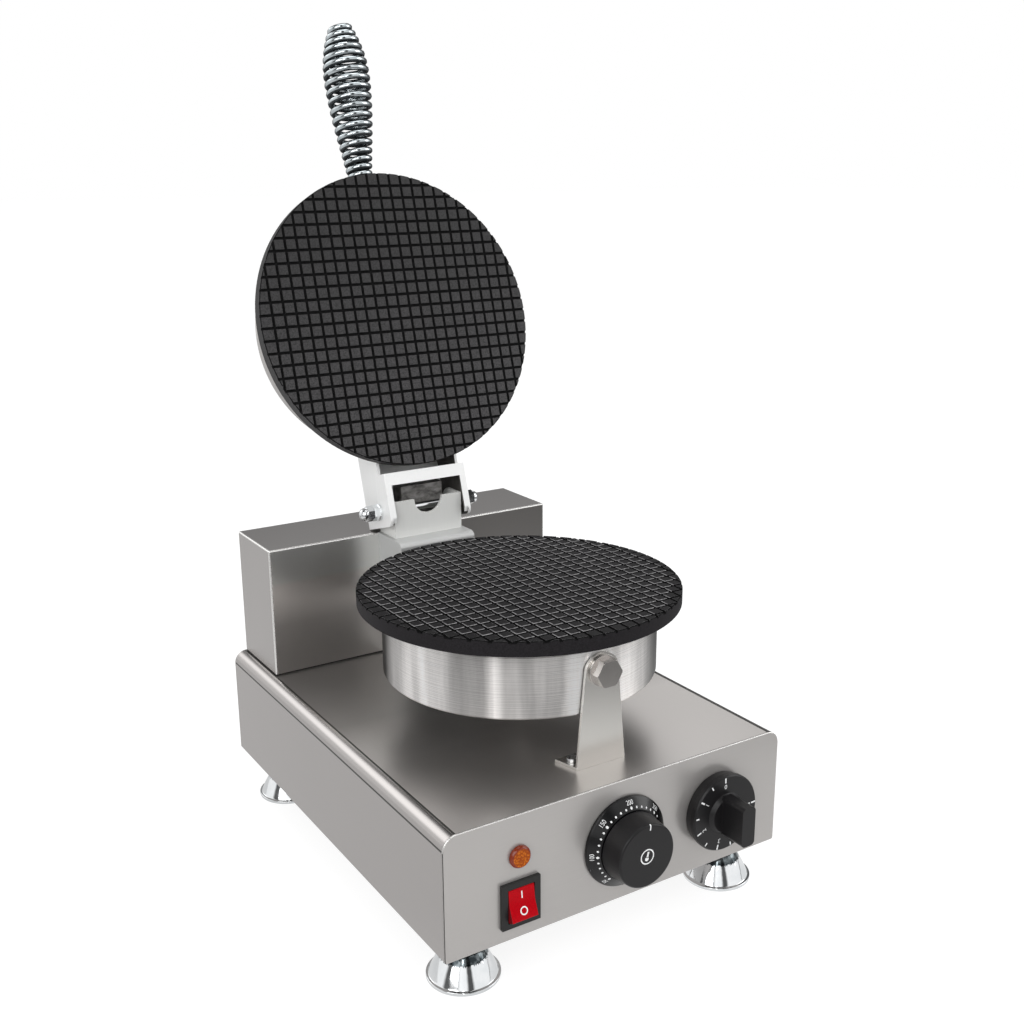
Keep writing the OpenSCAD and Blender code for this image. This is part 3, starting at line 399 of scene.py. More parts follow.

# %% [markdown]
# Where a sheet is folded or trimmed, its edge catches a bright line: that edge is polished and painted far paler
# than the sheet, part real polish and part painted highlight. Where two sheets meet, the gap is painted nearly
# black, a painted shade.
# Each is a finish of its own, for the narrow rounds that are cut along the edges later.

# %% Edge finishes
# Painted highlight: the edge metal is far paler than the sheet, part real polish and part painted highlight.
polished_and_highlit_edge, shader = new_finish("polished_and_highlit_edge", (0.90, 0.89, 0.87), 0.26, 1.0)
spread(polished_and_highlit_edge, pattern(polished_and_highlit_edge, (500, 500, 500)), shader.inputs["Roughness"], 0.20, 0.34)
# Painted shade: nearly black, laid on the rounds along seams and at the riser's foot, where shade falls in the
# gap.
seam_painted_shade = mottled("seam_painted_shade", (0.020, 0.018, 0.016), 0.8, 0.0, 600, (0.012, 0.011, 0.010),
                    (0.035, 0.032, 0.029))
# Painted highlight: a pale grey for the rounded edges of the lower plate's lands, part wear and part painted
# highlight where they catch light.
worn_and_highlit_coat = mottled("worn_and_highlit_coat", (0.18, 0.176, 0.18), 0.45, 0.0, 500, (0.05, 0.048, 0.052),
                    (0.33, 0.325, 0.33))
print("edge finishes ready")

# %% [markdown]
# The drums are turned on a lathe, so their lines run round them. Such a surface is anisotropic: it
# blurs a reflection across its lines and keeps it sharper along them. The shader needs the direction
# across the lines. Every point takes it from its place beside the drum's axis, in Object coordinates.
# Noise along the axis draws the fine rings, and noise round the axis the soft uneven streaks. On the
# lower drum, broad upright bands are painted paler and darker by their bearing: painted highlights and
# painted dark reflections.

# %% Turned aluminium
# Painted light: tones by bearing for the lower drum's upright bands, paler where a highlight is painted and darker
# where a dark reflection is.
DRUM_PAINTED_LIGHT_BANDS = ((-180, 0.6), (-92, 0.10), (-73, 0.09), (-63, 0.75), (-52, 1.15), (-41, 1.55), (-31, 1.2),
              (-22, 0.68), (-14, 0.70), (-9.5, 1.30), (-6, 0.74), (7, 1.0), (14, 1.35), (20, 1.6),
              (32, 1.45), (58, 1.30), (66, 0.6), (73, 0.14), (92, 0.12), (180, 0.6))
ALONG_SHARE, RING_SCALE, STREAK_SCALE, DRAWN_OUT = 0.1, 2400, 95, 0.12

def turned(name, colour, centre, axis_turn, bands, contrast):
    finish, shader = new_finish(name, colour, 0.42, 1.0, Anisotropic=0.85)
    tree, about_x = finish.node_tree, (axis_turn, 0, 0)
    face = feed(tree, node_of(tree, "Mapping", vector_type="TEXTURE"), place_in(tree), centre, about_x)
    parts = node_of(tree, "SeparateXYZ")
    feed(tree, parts, face)
    # Outwards from the axis, with a share along it, turned back into the solid's own directions
    spoke = feed(tree, node_of(tree, "CombineXYZ"), parts.outputs["X"], parts.outputs["Y"], ALONG_SHARE)
    outward = feed(tree, node_of(tree, "VectorMath", operation="NORMALIZE"), spoke)
    back = feed(tree, node_of(tree, "Mapping", vector_type="POINT"), outward, Rotation=about_x)
    into_world = node_of(tree, "VectorTransform", vector_type="VECTOR", convert_from="OBJECT",
                         convert_to="WORLD")
    feed(tree, shader, Tangent=feed(tree, into_world, back))
    # Rings from the distance along the axis, streaks from the direction round it
    rings = feed(tree, node_of(tree, "TexNoise", noise_dimensions="1D"), W=parts.outputs["Z"],
                 Scale=RING_SCALE, Detail=3)
    streaks = feed(tree, node_of(tree, "TexNoise"), multiplied(tree, face, (1, 1, DRAWN_OUT)),
                   Scale=STREAK_SCALE, Detail=4)
    both = mixed(tree, 0.5, rings, streaks)
    tint(finish, both, shader, shade(colour, 1 - contrast), shade(colour, 1 + contrast), 0.36, 0.64)
    # Painted light: broad bands round the drum, paler and darker than the metal; a table holds half of each tone
    base = shader.inputs["Base Color"]
    tone = table(tree, bearing(tree, face)[0], bands, -180, 180)
    banded = multiplied(tree, base.links[0].from_socket, tone)
    tree.links.new(feed(tree, node_of(tree, "VectorMath", operation="SCALE"), banded, Scale=2), base)
    spread(finish, both, shader.inputs["Roughness"], 0.34, 0.50)
    relief(finish, rings, shader, 0.25, 0.00003)
    return finish

lower_centre, upper_centre = middle_of("lower_drum"), middle_of("upper_plate")
turned_lower = turned("turned_aluminium_lower", (0.60, 0.585, 0.575), lower_centre, 0, DRUM_PAINTED_LIGHT_BANDS, 0.36)
turned_upper = turned("turned_aluminium_upper", (0.60, 0.585, 0.575), upper_centre,
                      math.radians(90) - OPEN_LEAN, ((-180, 1.0), (180, 1.0)), 0.12)
print("drum axes pass through", [round(v, 3) for v in lower_centre], [round(v, 3) for v in upper_centre])

# %% [markdown]
# The grill plates carry a matt black non-stick coat over cast iron. It isn't flat black: it has a
# coarse, speckled grain that scatters light. The lower plate is soaked with oil, so it is darker and
# closes up the grain, while the upper one is paler and is painted darker towards its top, a painted shade.

# %% Coated iron
def coat(name, colour, rough, specular, grain_scale, contrast):
    finish, shader = new_finish(name, colour, rough, Specular_IOR_Level=specular)
    grain = pattern(finish, (grain_scale,) * 3, 3, 0.7)
    tint(finish, grain, shader, shade(colour, 1 - contrast), shade(colour, 1 + contrast), 0.38, 0.62)
    spread(finish, grain, shader.inputs["Roughness"], rough * 0.85, rough * 1.15)
    relief(finish, grain, shader, 0.4, 0.00010)
    return finish

coat_lower = coat("nonstick_coat_lower", (0.0135, 0.0128, 0.0137), 0.58, 0.13, 1100, 0.55)
coat_rim = coat("nonstick_coat_rim", (0.0135, 0.0120, 0.0138), 0.60, 0.15, 1100, 0.35)
coat_upper_painted_shade = coat("nonstick_coat_upper", (0.038, 0.0365, 0.038), 0.55, 0.40, 900, 0.60)
# Painted shade: the upper coat is painted darker towards its top.
toned(coat_upper_painted_shade, "Z", 0.28, 0.40, 1.0, 0.45)
# Painted shade: nearly black for the walls and floors of the grooves, where shade falls.
groove_painted_shade = mottled("groove_painted_shade", (0.006, 0.006, 0.0065), 0.85, 0.0, 700, (0.003, 0.003, 0.003),
                      (0.010, 0.010, 0.0105), Specular_IOR_Level=0.1)
print("coats ready")

# %% [markdown]
# Moulded plastic is smoother than the coat, with a fine skin and a little sheen. The knobs are a soft
# black, the switch frame a glossier one. The rocker is a deep clear red, and the lamp's cap is amber
# with a pattern of small round facets inside its face. Both are dielectrics, so they get no metal.

# %% Plastics
def moulded(name, colour, rough, grain_depth=0.00003, **sockets):
    finish, shader = new_finish(name, colour, rough, **sockets)
    skin = pattern(finish, (1400, 1400, 1400), 2)
    tint(finish, skin, shader, shade(colour, 0.85), shade(colour, 1.15))
    spread(finish, skin, shader.inputs["Roughness"], rough * 0.88, rough * 1.15)
    relief(finish, skin, shader, 0.25, grain_depth)
    return finish

knob_black = moulded("knob_black", (0.0090, 0.0084, 0.0092), 0.36, Specular_IOR_Level=0.30)
bezel_black = moulded("bezel_black", (0.0045, 0.0045, 0.0050), 0.20, 0.00001, Specular_IOR_Level=0.35)
switch_black = moulded("switch_black", (0.012, 0.012, 0.012), 0.34, Specular_IOR_Level=0.3)
rocker_red = moulded("rocker_red", (0.44, 0.0008, 0.006), 0.16, 0.00001, Specular_IOR_Level=0.08)
# Painted shade: a darker copy of the red for the rocker's sides.
rocker_side_painted_shade = moulded("rocker_side_painted_shade", (0.16, 0.001, 0.004), 0.35, 0.00001)
# Painted shade: a dark red-brown for the sides of the lamp's cap.
lamp_side_painted_shade = moulded("lamp_side_painted_shade", (0.20, 0.022, 0.003), 0.15, 0.00001)
print_white = moulded("print_white", (0.86, 0.87, 0.88), 0.6, 0.00001)
cream = moulded("cream_plastic", (0.72, 0.68, 0.58), 0.5)
wool = moulded("mineral_wool", (0.62, 0.58, 0.46), 0.95, 0.0004)
bronze = moulded("bearing_bronze", (0.14, 0.10, 0.06), 0.45, Metallic=1.0)

lamp_amber, shader = new_finish("lamp_amber", (0.50, 0.12, 0.010), 0.22, Specular_IOR_Level=0.10)
tree = lamp_amber.node_tree
facets = feed(tree, node_of(tree, "TexVoronoi"), place_in(tree), Scale=800)
tint(lamp_amber, facets, shader, (0.60, 0.16, 0.012), (0.30, 0.055, 0.005), 0.15, 0.62)
relief(lamp_amber, facets, shader, 0.3, 0.0002)
print("plastic finishes ready")

# %% [markdown]
# Chrome and zinc plate are mirrors with small faults. Chrome keeps a very low roughness with broad,
# faint smears. The handle's wire is plated thinner and bluer, and the sides of its turns that face each
# other are painted nearly black, a painted shade. The necks of the feet are painted dark, a painted
# reflection. The front bolt is nickel plated. Zinc plate is duller and a little blue. The block in
# the hinge is bare steel that has darkened in patches with wear, and the inside of the yoke is painted
# dark, a painted shade.

# %% Plated and worn steel
chrome, shader = new_finish("chrome", (0.80, 0.82, 0.83), 0.07, 1.0)
smear = pattern(chrome, (90, 90, 90), 3)
spread(chrome, smear, shader.inputs["Roughness"], 0.04, 0.11)
tint(chrome, smear, shader, (0.74, 0.765, 0.78), (0.86, 0.87, 0.88))
plated_wire = mottled("plated_wire", (0.56, 0.61, 0.63), 0.12, 1.0, 140, (0.46, 0.51, 0.53),
                      (0.66, 0.71, 0.73))
# Painted shade: nearly black for the sides of the wire's turns that face their neighbours.
wire_sides_painted_shade = mottled("wire_sides_painted_shade", (0.02, 0.024, 0.027), 0.45, 0.0, 300, (0.010, 0.013, 0.015),
                        (0.05, 0.058, 0.063), Specular_IOR_Level=0.3)
# Painted reflection: dark chrome for the feet's necks, where the dark housing above is mirrored.
neck_painted_reflection = mottled("neck_painted_reflection", (0.10, 0.118, 0.125), 0.12, 1.0, 160, (0.03, 0.037, 0.041),
                    (0.20, 0.225, 0.235), (0.42, 0.60))
nickel = brushed("dull_nickel", (0.56, 0.535, 0.515), 0.16, (60, 60, 60), 0.06)
zinc, shader = new_finish("zinc_plate", (0.62, 0.63, 0.64), 0.28, 1.0)
bloom = pattern(zinc, (300, 300, 300), 4)
tint(zinc, bloom, shader, (0.52, 0.53, 0.55), (0.70, 0.70, 0.69))
spread(zinc, bloom, shader.inputs["Roughness"], 0.20, 0.36)
worn_steel, shader = new_finish("worn_steel", (0.30, 0.29, 0.28), 0.4, 0.6)
wear = pattern(worn_steel, (110, 160, 200), 5, 0.6, 0.4)
tint(worn_steel, wear, shader, (0.10, 0.096, 0.092), (0.36, 0.35, 0.34), 0.36, 0.66)
spread(worn_steel, wear, shader.inputs["Roughness"], 0.30, 0.55)
# Painted shade: nearly black steel for the faces inside the yoke, where shade falls.
yoke_inside_painted_shade = mottled("yoke_inside_painted_shade", (0.08, 0.076, 0.072), 0.6, 0.3, 60, (0.05, 0.047, 0.044),
                      (0.13, 0.122, 0.115))
print("finishes made:", len(bpy.data.materials))

# %% [markdown]
# ## Dressing a solid
# A real edge is never perfectly sharp: it catches a thin line of light. The solids come as loose
# triangles, so a dressed piece starts as a copy that is merged, freed of needless edges and then
# bevelled with a bmesh operator. Some edges are rounded first and may take a larger round than the
# rest: the corners of a box, or on an upright sheet the outline of its front. Any face may be given
# a second finish, such as a polished edge with a painted highlight, or a painted shade. The copy stands for its
# solid.

# %% Copy, merge and bevel
def body_of(node):
    return next(b for b, members in record["behaviour"]["bodies"].items() if node in members)

def round_off(shape, edges, radius, steps):
    return bmesh.ops.bevel(shape, geom=edges, offset=radius, offset_type="OFFSET", segments=steps,
                           profile=0.5, affect="EDGES", clamp_overlap=True, material=-1)["faces"]

TOUCHING = 2e-5
SAME_POINT = 2e-6
FLAT, KEEN, SMOOTH = math.radians(0.5), math.radians(28), math.radians(50)
SHEET_CORNER, SHEET_DEPTH = 14 * MM, 10 * MM

def keen_edges(shape):
    return [e for e in shape.edges if e.is_manifold and e.calc_face_angle() > KEEN]

def on_outside(edge, low, high):
    """True for an edge that lies where two sides of the solid's box meet."""
    middle = (edge.verts[0].co + edge.verts[1].co) / 2
    near = [min(abs(middle[i] - low[i]), abs(middle[i] - high[i])) < TOUCHING for i in range(3)]
    return sum(near) >= 2

def on_the_outline(edge, low, high):
    """True for an edge round the front of an upright sheet, its rounded corners too."""
    middle = (edge.verts[0].co + edge.verts[1].co) / 2
    from_side, from_end = min(middle.x - low.x, high.x - middle.x), min(middle.z - low.z, high.z - middle.z)
    on_the_border = min(from_side, from_end) < TOUCHING or max(from_side, from_end) < SHEET_CORNER
    return on_the_border and all(vert.co.y < low.y + TOUCHING for vert in edge.verts)

def dressed(node, finish, radius=0.0003, steps=2, corner=0.0, patches=(), first=None):
    """A copy of a solid with rounded edges. A patch is a finish and a test of face, round or not."""
    low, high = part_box(node)
    shape = bmesh.new()
    shape.from_mesh(nodes[node].data)
    bmesh.ops.remove_doubles(shape, verts=shape.verts[:], dist=SAME_POINT)
    bmesh.ops.dissolve_limit(shape, angle_limit=FLAT, verts=shape.verts[:], edges=shape.edges[:])
    first = first or (on_the_outline if high.y - low.y < SHEET_DEPTH else on_outside)
    outer = [e for e in keen_edges(shape) if corner and first(e, low, high)]
    mark = shape.faces.layers.int.new("edge_round")
    for face in round_off(shape, outer, corner, steps + 1) if outer else ():
        face[mark] = 1
    if radius:
        rest = [e for e in keen_edges(shape) if not any(face[mark] for face in e.link_faces)]
        for face in round_off(shape, rest, radius, steps):
            face[mark] = 1
    shape.normal_update()
    for face in shape.faces:
        face.smooth = True
        for number, (patch, test) in enumerate(patches, 1):
            if test(face, face[mark]):
                face.material_index = number
    for edge in shape.edges:
        edge.smooth = edge.is_manifold and edge.calc_face_angle() < SMOOTH
    shape.faces.layers.int.remove(mark)
    mesh = bpy.data.meshes.new(node + "_dressed")
    shape.to_mesh(mesh)
    shape.free()
    mesh.materials.append(finish)
    for patch, test in patches:
        mesh.materials.append(patch)
    piece = add_object(node + "_dressed", mesh)
    even = piece.modifiers.new("even_light", "WEIGHTED_NORMAL")
    even.keep_sharp = True
    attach(piece, body_of(node))
    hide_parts(node)
    return piece

# %% [markdown]
# The housing is a wrapped sheet with a front and a back sheet set against its ends. The sheet's own
# edge along that seam and the front sheet's sides are painted nearly black, a painted shade in the gap,
# and the front sheet's edge is polished and painted pale where it faces up, a painted highlight.
# The riser is folded from one sheet: its folds are painted pale, a painted highlight, and its foot is
# painted with a dark line, a painted shade. Its front and its top shelf are painted lighter and darker
# copies of the sheet, and the housing's top carries dark strips beside its rolled edge, a painted reflection.

# How far a face turns towards a direction is a number from 0 to 1, and a few of them have names.

# %% Dress the sheet metal
HARDLY, BARELY, PARTLY, MOSTLY, SQUARELY = 0.05, 0.1, 0.25, 0.7, 0.9

def faces_up(face, is_round):
    return is_round and face.normal.z > HARDLY

def faces_aside(face, is_round):
    return is_round and abs(face.normal.x) > PARTLY

def on_the_front(face, is_round):
    return not is_round and face.normal.y < -SQUARELY

def at_the_foot(face, is_round):
    return is_round and face.normal.z < -BARELY

def a_fold(face, is_round):
    return is_round and face.normal.z > -BARELY

SEAM_DEPTH = 1.9 * MM
LEVEL, FIRST_STRIP, SIDE_STRIP = 0.9995, 0.985, (0.01, 0.13)
shell_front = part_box("housing_shell")[0].y

def on_the_top(face, is_round):
    return not is_round and face.normal.z > LEVEL

def beside_the_roll(face, is_round):
    """The first strip of the rolled edge at the top, and a thin one at the side, which take a painted dark
    reflection.
    """
    up = face.normal.z
    return not is_round and (FIRST_STRIP < up < LEVEL or SIDE_STRIP[0] < up < SIDE_STRIP[1])

def along_the_seam(face, is_round):
    return is_round and face.calc_center_median().y < shell_front + SEAM_DEPTH

SHEETS = {
    "housing_shell": (stainless_back, 0.3, 0, (
        (stainless_top_painted_light, on_the_top), (roll_painted_reflection, beside_the_roll), (seam_painted_shade, along_the_seam))),
    "front_panel": (stainless_front, 0.15, 0.5, ((seam_painted_shade, faces_aside), (polished_and_highlit_edge, faces_up))),
    "back_panel": (stainless_across, 0.5, 0, ()),
    "riser_cover": (stainless_across, 0.4, 1.1, (
        (stainless_riser_painted_light, on_the_front), (stainless_shelf_painted_shade, on_the_top), (polished_and_highlit_edge, a_fold),
        (seam_painted_shade, at_the_foot))),
    "riser_back": (stainless_across, 0.3, 0, ()),
    "pedestal_cover": (satin_dark, 0.5, 0, ()),
    "bottom_cover": (stainless_back, 0.3, 0, ()),
    "hinge_bracket": (satin, 0.5, 0, ((polished_and_highlit_edge, a_fold),)),
    "support_bracket": (bracket_steel, 0.4, 0, ((polished_and_highlit_edge, a_fold),)),
    "stop_block": (worn_steel, 0.5, 0, ())}
for node, (finish, radius, corner, patches) in SHEETS.items():
    piece = dressed(node, finish, radius * MM, 3, corner=corner * MM, patches=patches)
    print(node, "faces:", len(piece.data.polygons))

# %% [markdown]
# The yoke is a bent channel. Its outside is smooth and bright, and the faces that look into the channel
# are painted dark, a painted shade. In the head's own directions an inner face either looks sideways at
# the middle or looks back from the front web, so the test turns each face into those directions first.

# %% Dress the yoke
to_head = head_frame.inverted()
yoke_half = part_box("yoke")[1].x
BETWEEN_ARMS = 4 * MM

def inside_the_yoke(face, is_round):
    centre = face.calc_center_median()
    normal = to_head.to_3x3() @ face.normal
    from_middle = centre.x * normal.x < 0 and abs(normal.x) > MOSTLY
    behind_the_web = normal.y > MOSTLY and abs(centre.x) < yoke_half - BETWEEN_ARMS
    return not is_round and (from_middle or behind_the_web)

piece = dressed("yoke", satin_light, 0.0005, 3, patches=((yoke_inside_painted_shade, inside_the_yoke),))
painted_shade_faces = sum(polygon.material_index for polygon in piece.data.polygons)
print("yoke faces:", len(piece.data.polygons), "sooty:", painted_shade_faces)

# %% [markdown]
# The plates keep their exact grooves. The walls and floors of the grooves are painted nearly black, a
# painted shade, and the edge of each land on the lower plate is a paler grey, part wear and part painted
# highlight, which draws the fine net of light lines. Height is measured along the plate's axis, and
# reach away from it. The short edges by the rim would stop the bevel of the lands, so they are left
# out of it.

# %% Dress the plates and drums
GROOVE_TOP, GROOVE_FLOOR, LAND_EDGE = 0.2 * MM, 1.6 * MM, 0.35 * MM
RIM_SKIN, RIM_TOP, RIM_MARGIN = 0.3 * MM, 2 * MM, 3 * MM

def plate_tests(node, axis):
    """Tests for a face in a groove, on a land's edge or on the rim, and for an edge of a land."""
    centre = middle_of(node)

    def height_and_reach(point):
        offset = point - centre
        return offset.dot(axis), (offset - axis * offset.dot(axis)).length

    places = [height_and_reach(vert.co) for vert in nodes[node].data.vertices]
    top, rim = max(height for height, reach in places), max(reach for height, reach in places)

    def in_a_groove(face, is_round):
        height, reach = height_and_reach(face.calc_center_median())
        return not is_round and top - GROOVE_FLOOR < height < top - GROOVE_TOP and reach < rim - RIM_SKIN

    def a_land_edge(face, is_round):
        return bool(is_round) and height_and_reach(face.calc_center_median())[0] > top - LAND_EDGE

    def on_the_rim(face, is_round):
        upright = abs(face.normal.dot(axis)) < 0.5
        return upright and height_and_reach(face.calc_center_median())[0] < top - RIM_TOP

    def round_a_land(edge, low, high):
        ends = [height_and_reach(vert.co) for vert in edge.verts]
        return all(height > top - TOUCHING and reach < rim - RIM_MARGIN for height, reach in ends)

    return in_a_groove, a_land_edge, on_the_rim, round_a_land

for node, finish, land_edge_finish, rim_finish, edge, axis in (
        ("lower_plate", coat_lower, worn_and_highlit_coat, coat_rim, 0.36, Vector((0, 0, 1))),
        ("upper_plate", coat_upper_painted_shade, coat_upper_painted_shade, coat_upper_painted_shade, 0.28,
         Vector((0, -math.cos(OPEN_LEAN), math.sin(OPEN_LEAN))))):
    in_a_groove, a_land_edge, on_the_rim, round_a_land = plate_tests(node, axis)
    piece = dressed(node, finish, 0.0002, 1, corner=edge * MM, first=round_a_land, patches=(
        (groove_painted_shade, in_a_groove), (land_edge_finish, a_land_edge), (rim_finish, on_the_rim)))
    print(node, "faces:", len(piece.data.polygons))
for node, finish in (("lower_drum", turned_lower), ("upper_drum", turned_upper)):
    piece = dressed(node, finish, 0.0003, 2)
    print(node, "faces:", len(piece.data.polygons))

# %% [markdown]
# The controls are moulded, and the bolts are forged and plated. Their edges are rounder for their
# size than the edges of sheet. One table names each of them with its finish and its edge. A foot is
# polished on its bell only: from NECK up, in millimetres, it is painted dark, a painted reflection of
# the dark housing above it.

# %% Dress the controls and the fasteners
def lamp_side(face, is_round):
    return is_round or abs(face.normal.y) < SQUARELY

def rocker_side(face, is_round):
    return abs(face.normal.x) > MOSTLY

SMALL_PARTS = {
    "thermostat_bezel": (bezel_black, 0.4), "thermostat_knob": (knob_black, 0.3),
    "timer_knob": (knob_black, 0.7), "switch_frame": (switch_black, 0.7),
    "support_bolt": (nickel, 0.3), "support_washer": (nickel, 0.3),
    "pin_nuts": (chrome, 0.2), "pin_washers": (chrome, 0.2), "handle_nut": (chrome, 0.3),
    "foot_nuts": (zinc, 0.3), "cable_gland": (knob_black, 0.4),
    "support_screws": (zinc, 0.2), "bracket_screws": (zinc, 0.2), "yoke_screws": (zinc, 0.2),
    "cover_screws": (zinc, 0.2), "riser_screws": (zinc, 0.2),
    "hinge_bushes": (bronze, 0.1)}
for node, (finish, radius) in SMALL_PARTS.items():
    dressed(node, finish, radius * MM)

NECK = 14

def near_the_neck(face, is_round):
    return face.calc_center_median().z > NECK * MM

for node in ("foot_front_left", "foot_front_right", "foot_back_left", "foot_back_right"):
    dressed(node, chrome, 0.0003, patches=((neck_painted_reflection, near_the_neck),))
dressed("switch_rocker", rocker_red, 0.0004, patches=((rocker_side_painted_shade, rocker_side),))
dressed("lamp_lens", lamp_amber, 0.0004, patches=((lamp_side_painted_shade, lamp_side),))

# %% [markdown]
# Pieces inside the drums and the housing are hardly seen, so their solids are kept as they are and
# only get a finish.

# %% Finish the rest
PLAIN = {
    "hinge_pin": chrome, "handle_stud": chrome, "lower_stud": zinc,
    "upper_stud": zinc, "conduit_nipple": zinc, "conduit_nuts": zinc, "lower_element": zinc,
    "upper_element": zinc, "lower_clamp": zinc, "upper_clamp": zinc,
    "lower_insulation": wool, "upper_insulation": wool, "thermostat_bulb": zinc,
    "thermostat_body": zinc, "timer_body": zinc, "thermostat_spindle": zinc, "timer_spindle": zinc,
    "lamp_body": switch_black, "terminal_block": cream, "gland_nut": knob_black}
for node, finish in PLAIN.items():
    nodes[node].data.materials.clear()
    nodes[node].data.materials.append(finish)
print("plain finishes:", len(PLAIN))

# %% [markdown]
# ## The wound handle
# The handle is one length of plated wire, wound over a former that swells past its middle. A curve
# with a round bevel is the natural tool: the points follow the winding, and the bevel is the wire.
# It is then turned into a mesh, so that its place can be kept in the mesh. The sides of the wire that
# face its neighbours are painted nearly black, a painted shade between the turns. Lengths here are in millimetres.

# %% Wind the wire
def mesh_of(data):
    """The mesh that a curve or a text makes."""
    maker = add_object(data.name, data)
    bpy.context.view_layer.update()
    mesh = bpy.data.meshes.new_from_object(maker.evaluated_get(bpy.context.evaluated_depsgraph_get()))
    bpy.data.objects.remove(maker)
    return mesh

TURNS, LENGTH, WIRE, POINTS_A_TURN, BUNCHING = 21, 123, 2.3, 32, 0.18
ROOT_RADIUS, FULL_RADIUS, DRAWN_IN, FULLEST = 6.4, 14.66, 8.4, 0.68
HANDLE_TILT = math.radians(4.2)
HANDLE_BACK, HANDLE_START, FIRST_TURN = 10.3, 222.8, 6.8
WIRE_INSET, DRAW_POWER, FACING_NEIGHBOURS = 0.02, 1.75, 0.60

def winding_radius(t):
    if t < FULLEST:
        return ROOT_RADIUS + (FULL_RADIUS - ROOT_RADIUS) * (1 - math.cos(math.pi * t / FULLEST)) / 2
    return FULL_RADIUS - DRAWN_IN * ((t - FULLEST) / (1 - FULLEST)) ** DRAW_POWER

steps = TURNS * POINTS_A_TURN
wire = bpy.data.curves.new("handle_wire", "CURVE")
wire.dimensions = "3D"
wire.bevel_depth = (WIRE - WIRE_INSET) * MM
wire.bevel_resolution = 3
wire.use_fill_caps = True
path = wire.splines.new("POLY")
path.points.add(steps)
for i in range(steps + 1):
    t = i / steps
    angle, r = 2 * math.pi * TURNS * t, winding_radius(t)
    share = t - BUNCHING * math.sin(2 * math.pi * t) / (2 * math.pi)
    z = FIRST_TURN + WIRE + (LENGTH - 2 * WIRE) * share
    path.points[i].co = (r * math.cos(angle) * MM, r * math.sin(angle) * MM, z * MM, 1)
mesh = mesh_of(wire)
mesh.transform(head_frame @ Matrix.Translation((0, HANDLE_BACK * MM, HANDLE_START * MM))
               @ Matrix.Rotation(HANDLE_TILT, 4, "X"))
along_handle = (head_frame.to_3x3() @ Matrix.Rotation(HANDLE_TILT, 3, "X")) @ Vector((0, 0, 1))
handle_wire = add_object("handle_wire", mesh)
mesh.materials.clear()
mesh.materials.append(plated_wire)
mesh.materials.append(wire_sides_painted_shade)
for polygon in mesh.polygons:
    polygon.use_smooth = True
    polygon.material_index = int(abs(polygon.normal.dot(along_handle)) > FACING_NEIGHBOURS)
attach(handle_wire, "head")
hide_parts("handle_coil")
print("handle wire faces:", len(mesh.polygons))

# %% [markdown]
# ## Printed marks
# The dials are read by white print. Each mark is a thin flat shape that lies a few hundredths of a
# millimetre over the plastic. A mark that runs over a slope follows it: every point is placed by its
# angle and its distance from the axis, and a rule for the moulding gives its height.

# %% Helpers for print
PRINT_LIFT = 0.05

def printed(name, shape, body):
    """Ends a drawing: it becomes a white piece that rides a body."""
    mesh = bpy.data.meshes.new(name)
    shape.to_mesh(mesh)
    shape.free()
    mesh.materials.append(print_white)
    piece = add_object(name, mesh)
    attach(piece, body)

def flat_mark(name, centre, body, draw, height_at):
    """Draws in a dial's own plane, in millimetres, then stands the drawing in front of the housing."""
    shape = bmesh.new()
    draw(shape)
    for vert in shape.verts:
        x, y = vert.co.x, vert.co.y
        vert.co = (centre.x + x * MM, front_y - (height_at(math.hypot(x, y)) + PRINT_LIFT) * MM,
                   centre.z + y * MM)
    bmesh.ops.recalc_face_normals(shape, faces=shape.faces[:])
    for face in shape.faces:
        if face.normal.y > 0:
            face.normal_flip()
    printed(name, shape, body)

def bar(shape, width, height, x=0.0, y=0.0, parts=1):
    made = bmesh.ops.create_grid(shape, x_segments=parts, y_segments=1, size=0.5)["verts"]
    bmesh.ops.scale(shape, vec=(width, height, 1), verts=made)
    bmesh.ops.translate(shape, vec=(x, y, 0), verts=made)
    return made

def ring(shape, segments, radius, hole):
    """A flat ring, drawn before anything else; hole is the size of its inside against its rim."""
    bmesh.ops.create_circle(shape, segments=segments, radius=radius)
    grown = bmesh.ops.extrude_edge_only(shape, edges=shape.edges[:])["geom"]
    bmesh.ops.scale(shape, vec=(hole, hole, 1), verts=[g for g in grown if isinstance(g, bmesh.types.BMVert)])

def turn_round(shape, verts, angle):
    bmesh.ops.rotate(shape, matrix=Matrix.Rotation(math.radians(angle), 3, "Z"), verts=verts)

def set_out(shape, verts, angle, radius):
    a = math.radians(angle)
    bmesh.ops.translate(shape, vec=(radius * math.cos(a), radius * math.sin(a), 0), verts=verts)

def tick(shape, angle, inner, outer, width, parts=6):
    """A short bar along a spoke."""
    turn_round(shape, bar(shape, outer - inner, width, (inner + outer) / 2, 0, parts), angle)

def dot(shape, angle, radius, size):
    made = bmesh.ops.create_circle(shape, cap_ends=True, segments=16, radius=size)["verts"]
    set_out(shape, made, angle, radius)

def digits(shape, word, angle, radius, size):
    """Number outlines from the built-in font, turned to stand outwards round a dial."""
    font = bpy.data.curves.new("digits", "FONT")
    font.body, font.size, font.align_x, font.align_y = word, size, "CENTER", "CENTER"
    old = len(shape.verts)
    shape.from_mesh(mesh_of(font))
    shape.verts.ensure_lookup_table()
    made = shape.verts[old:]
    turn_round(shape, made, angle - 90)
    set_out(shape, made, angle, radius)

print("print helpers ready")

# %% [markdown]
# The scale ring has a dot for every ten degrees, larger at each number. The knob carries a line that
# runs over its edge, and a small thermometer in a ring.

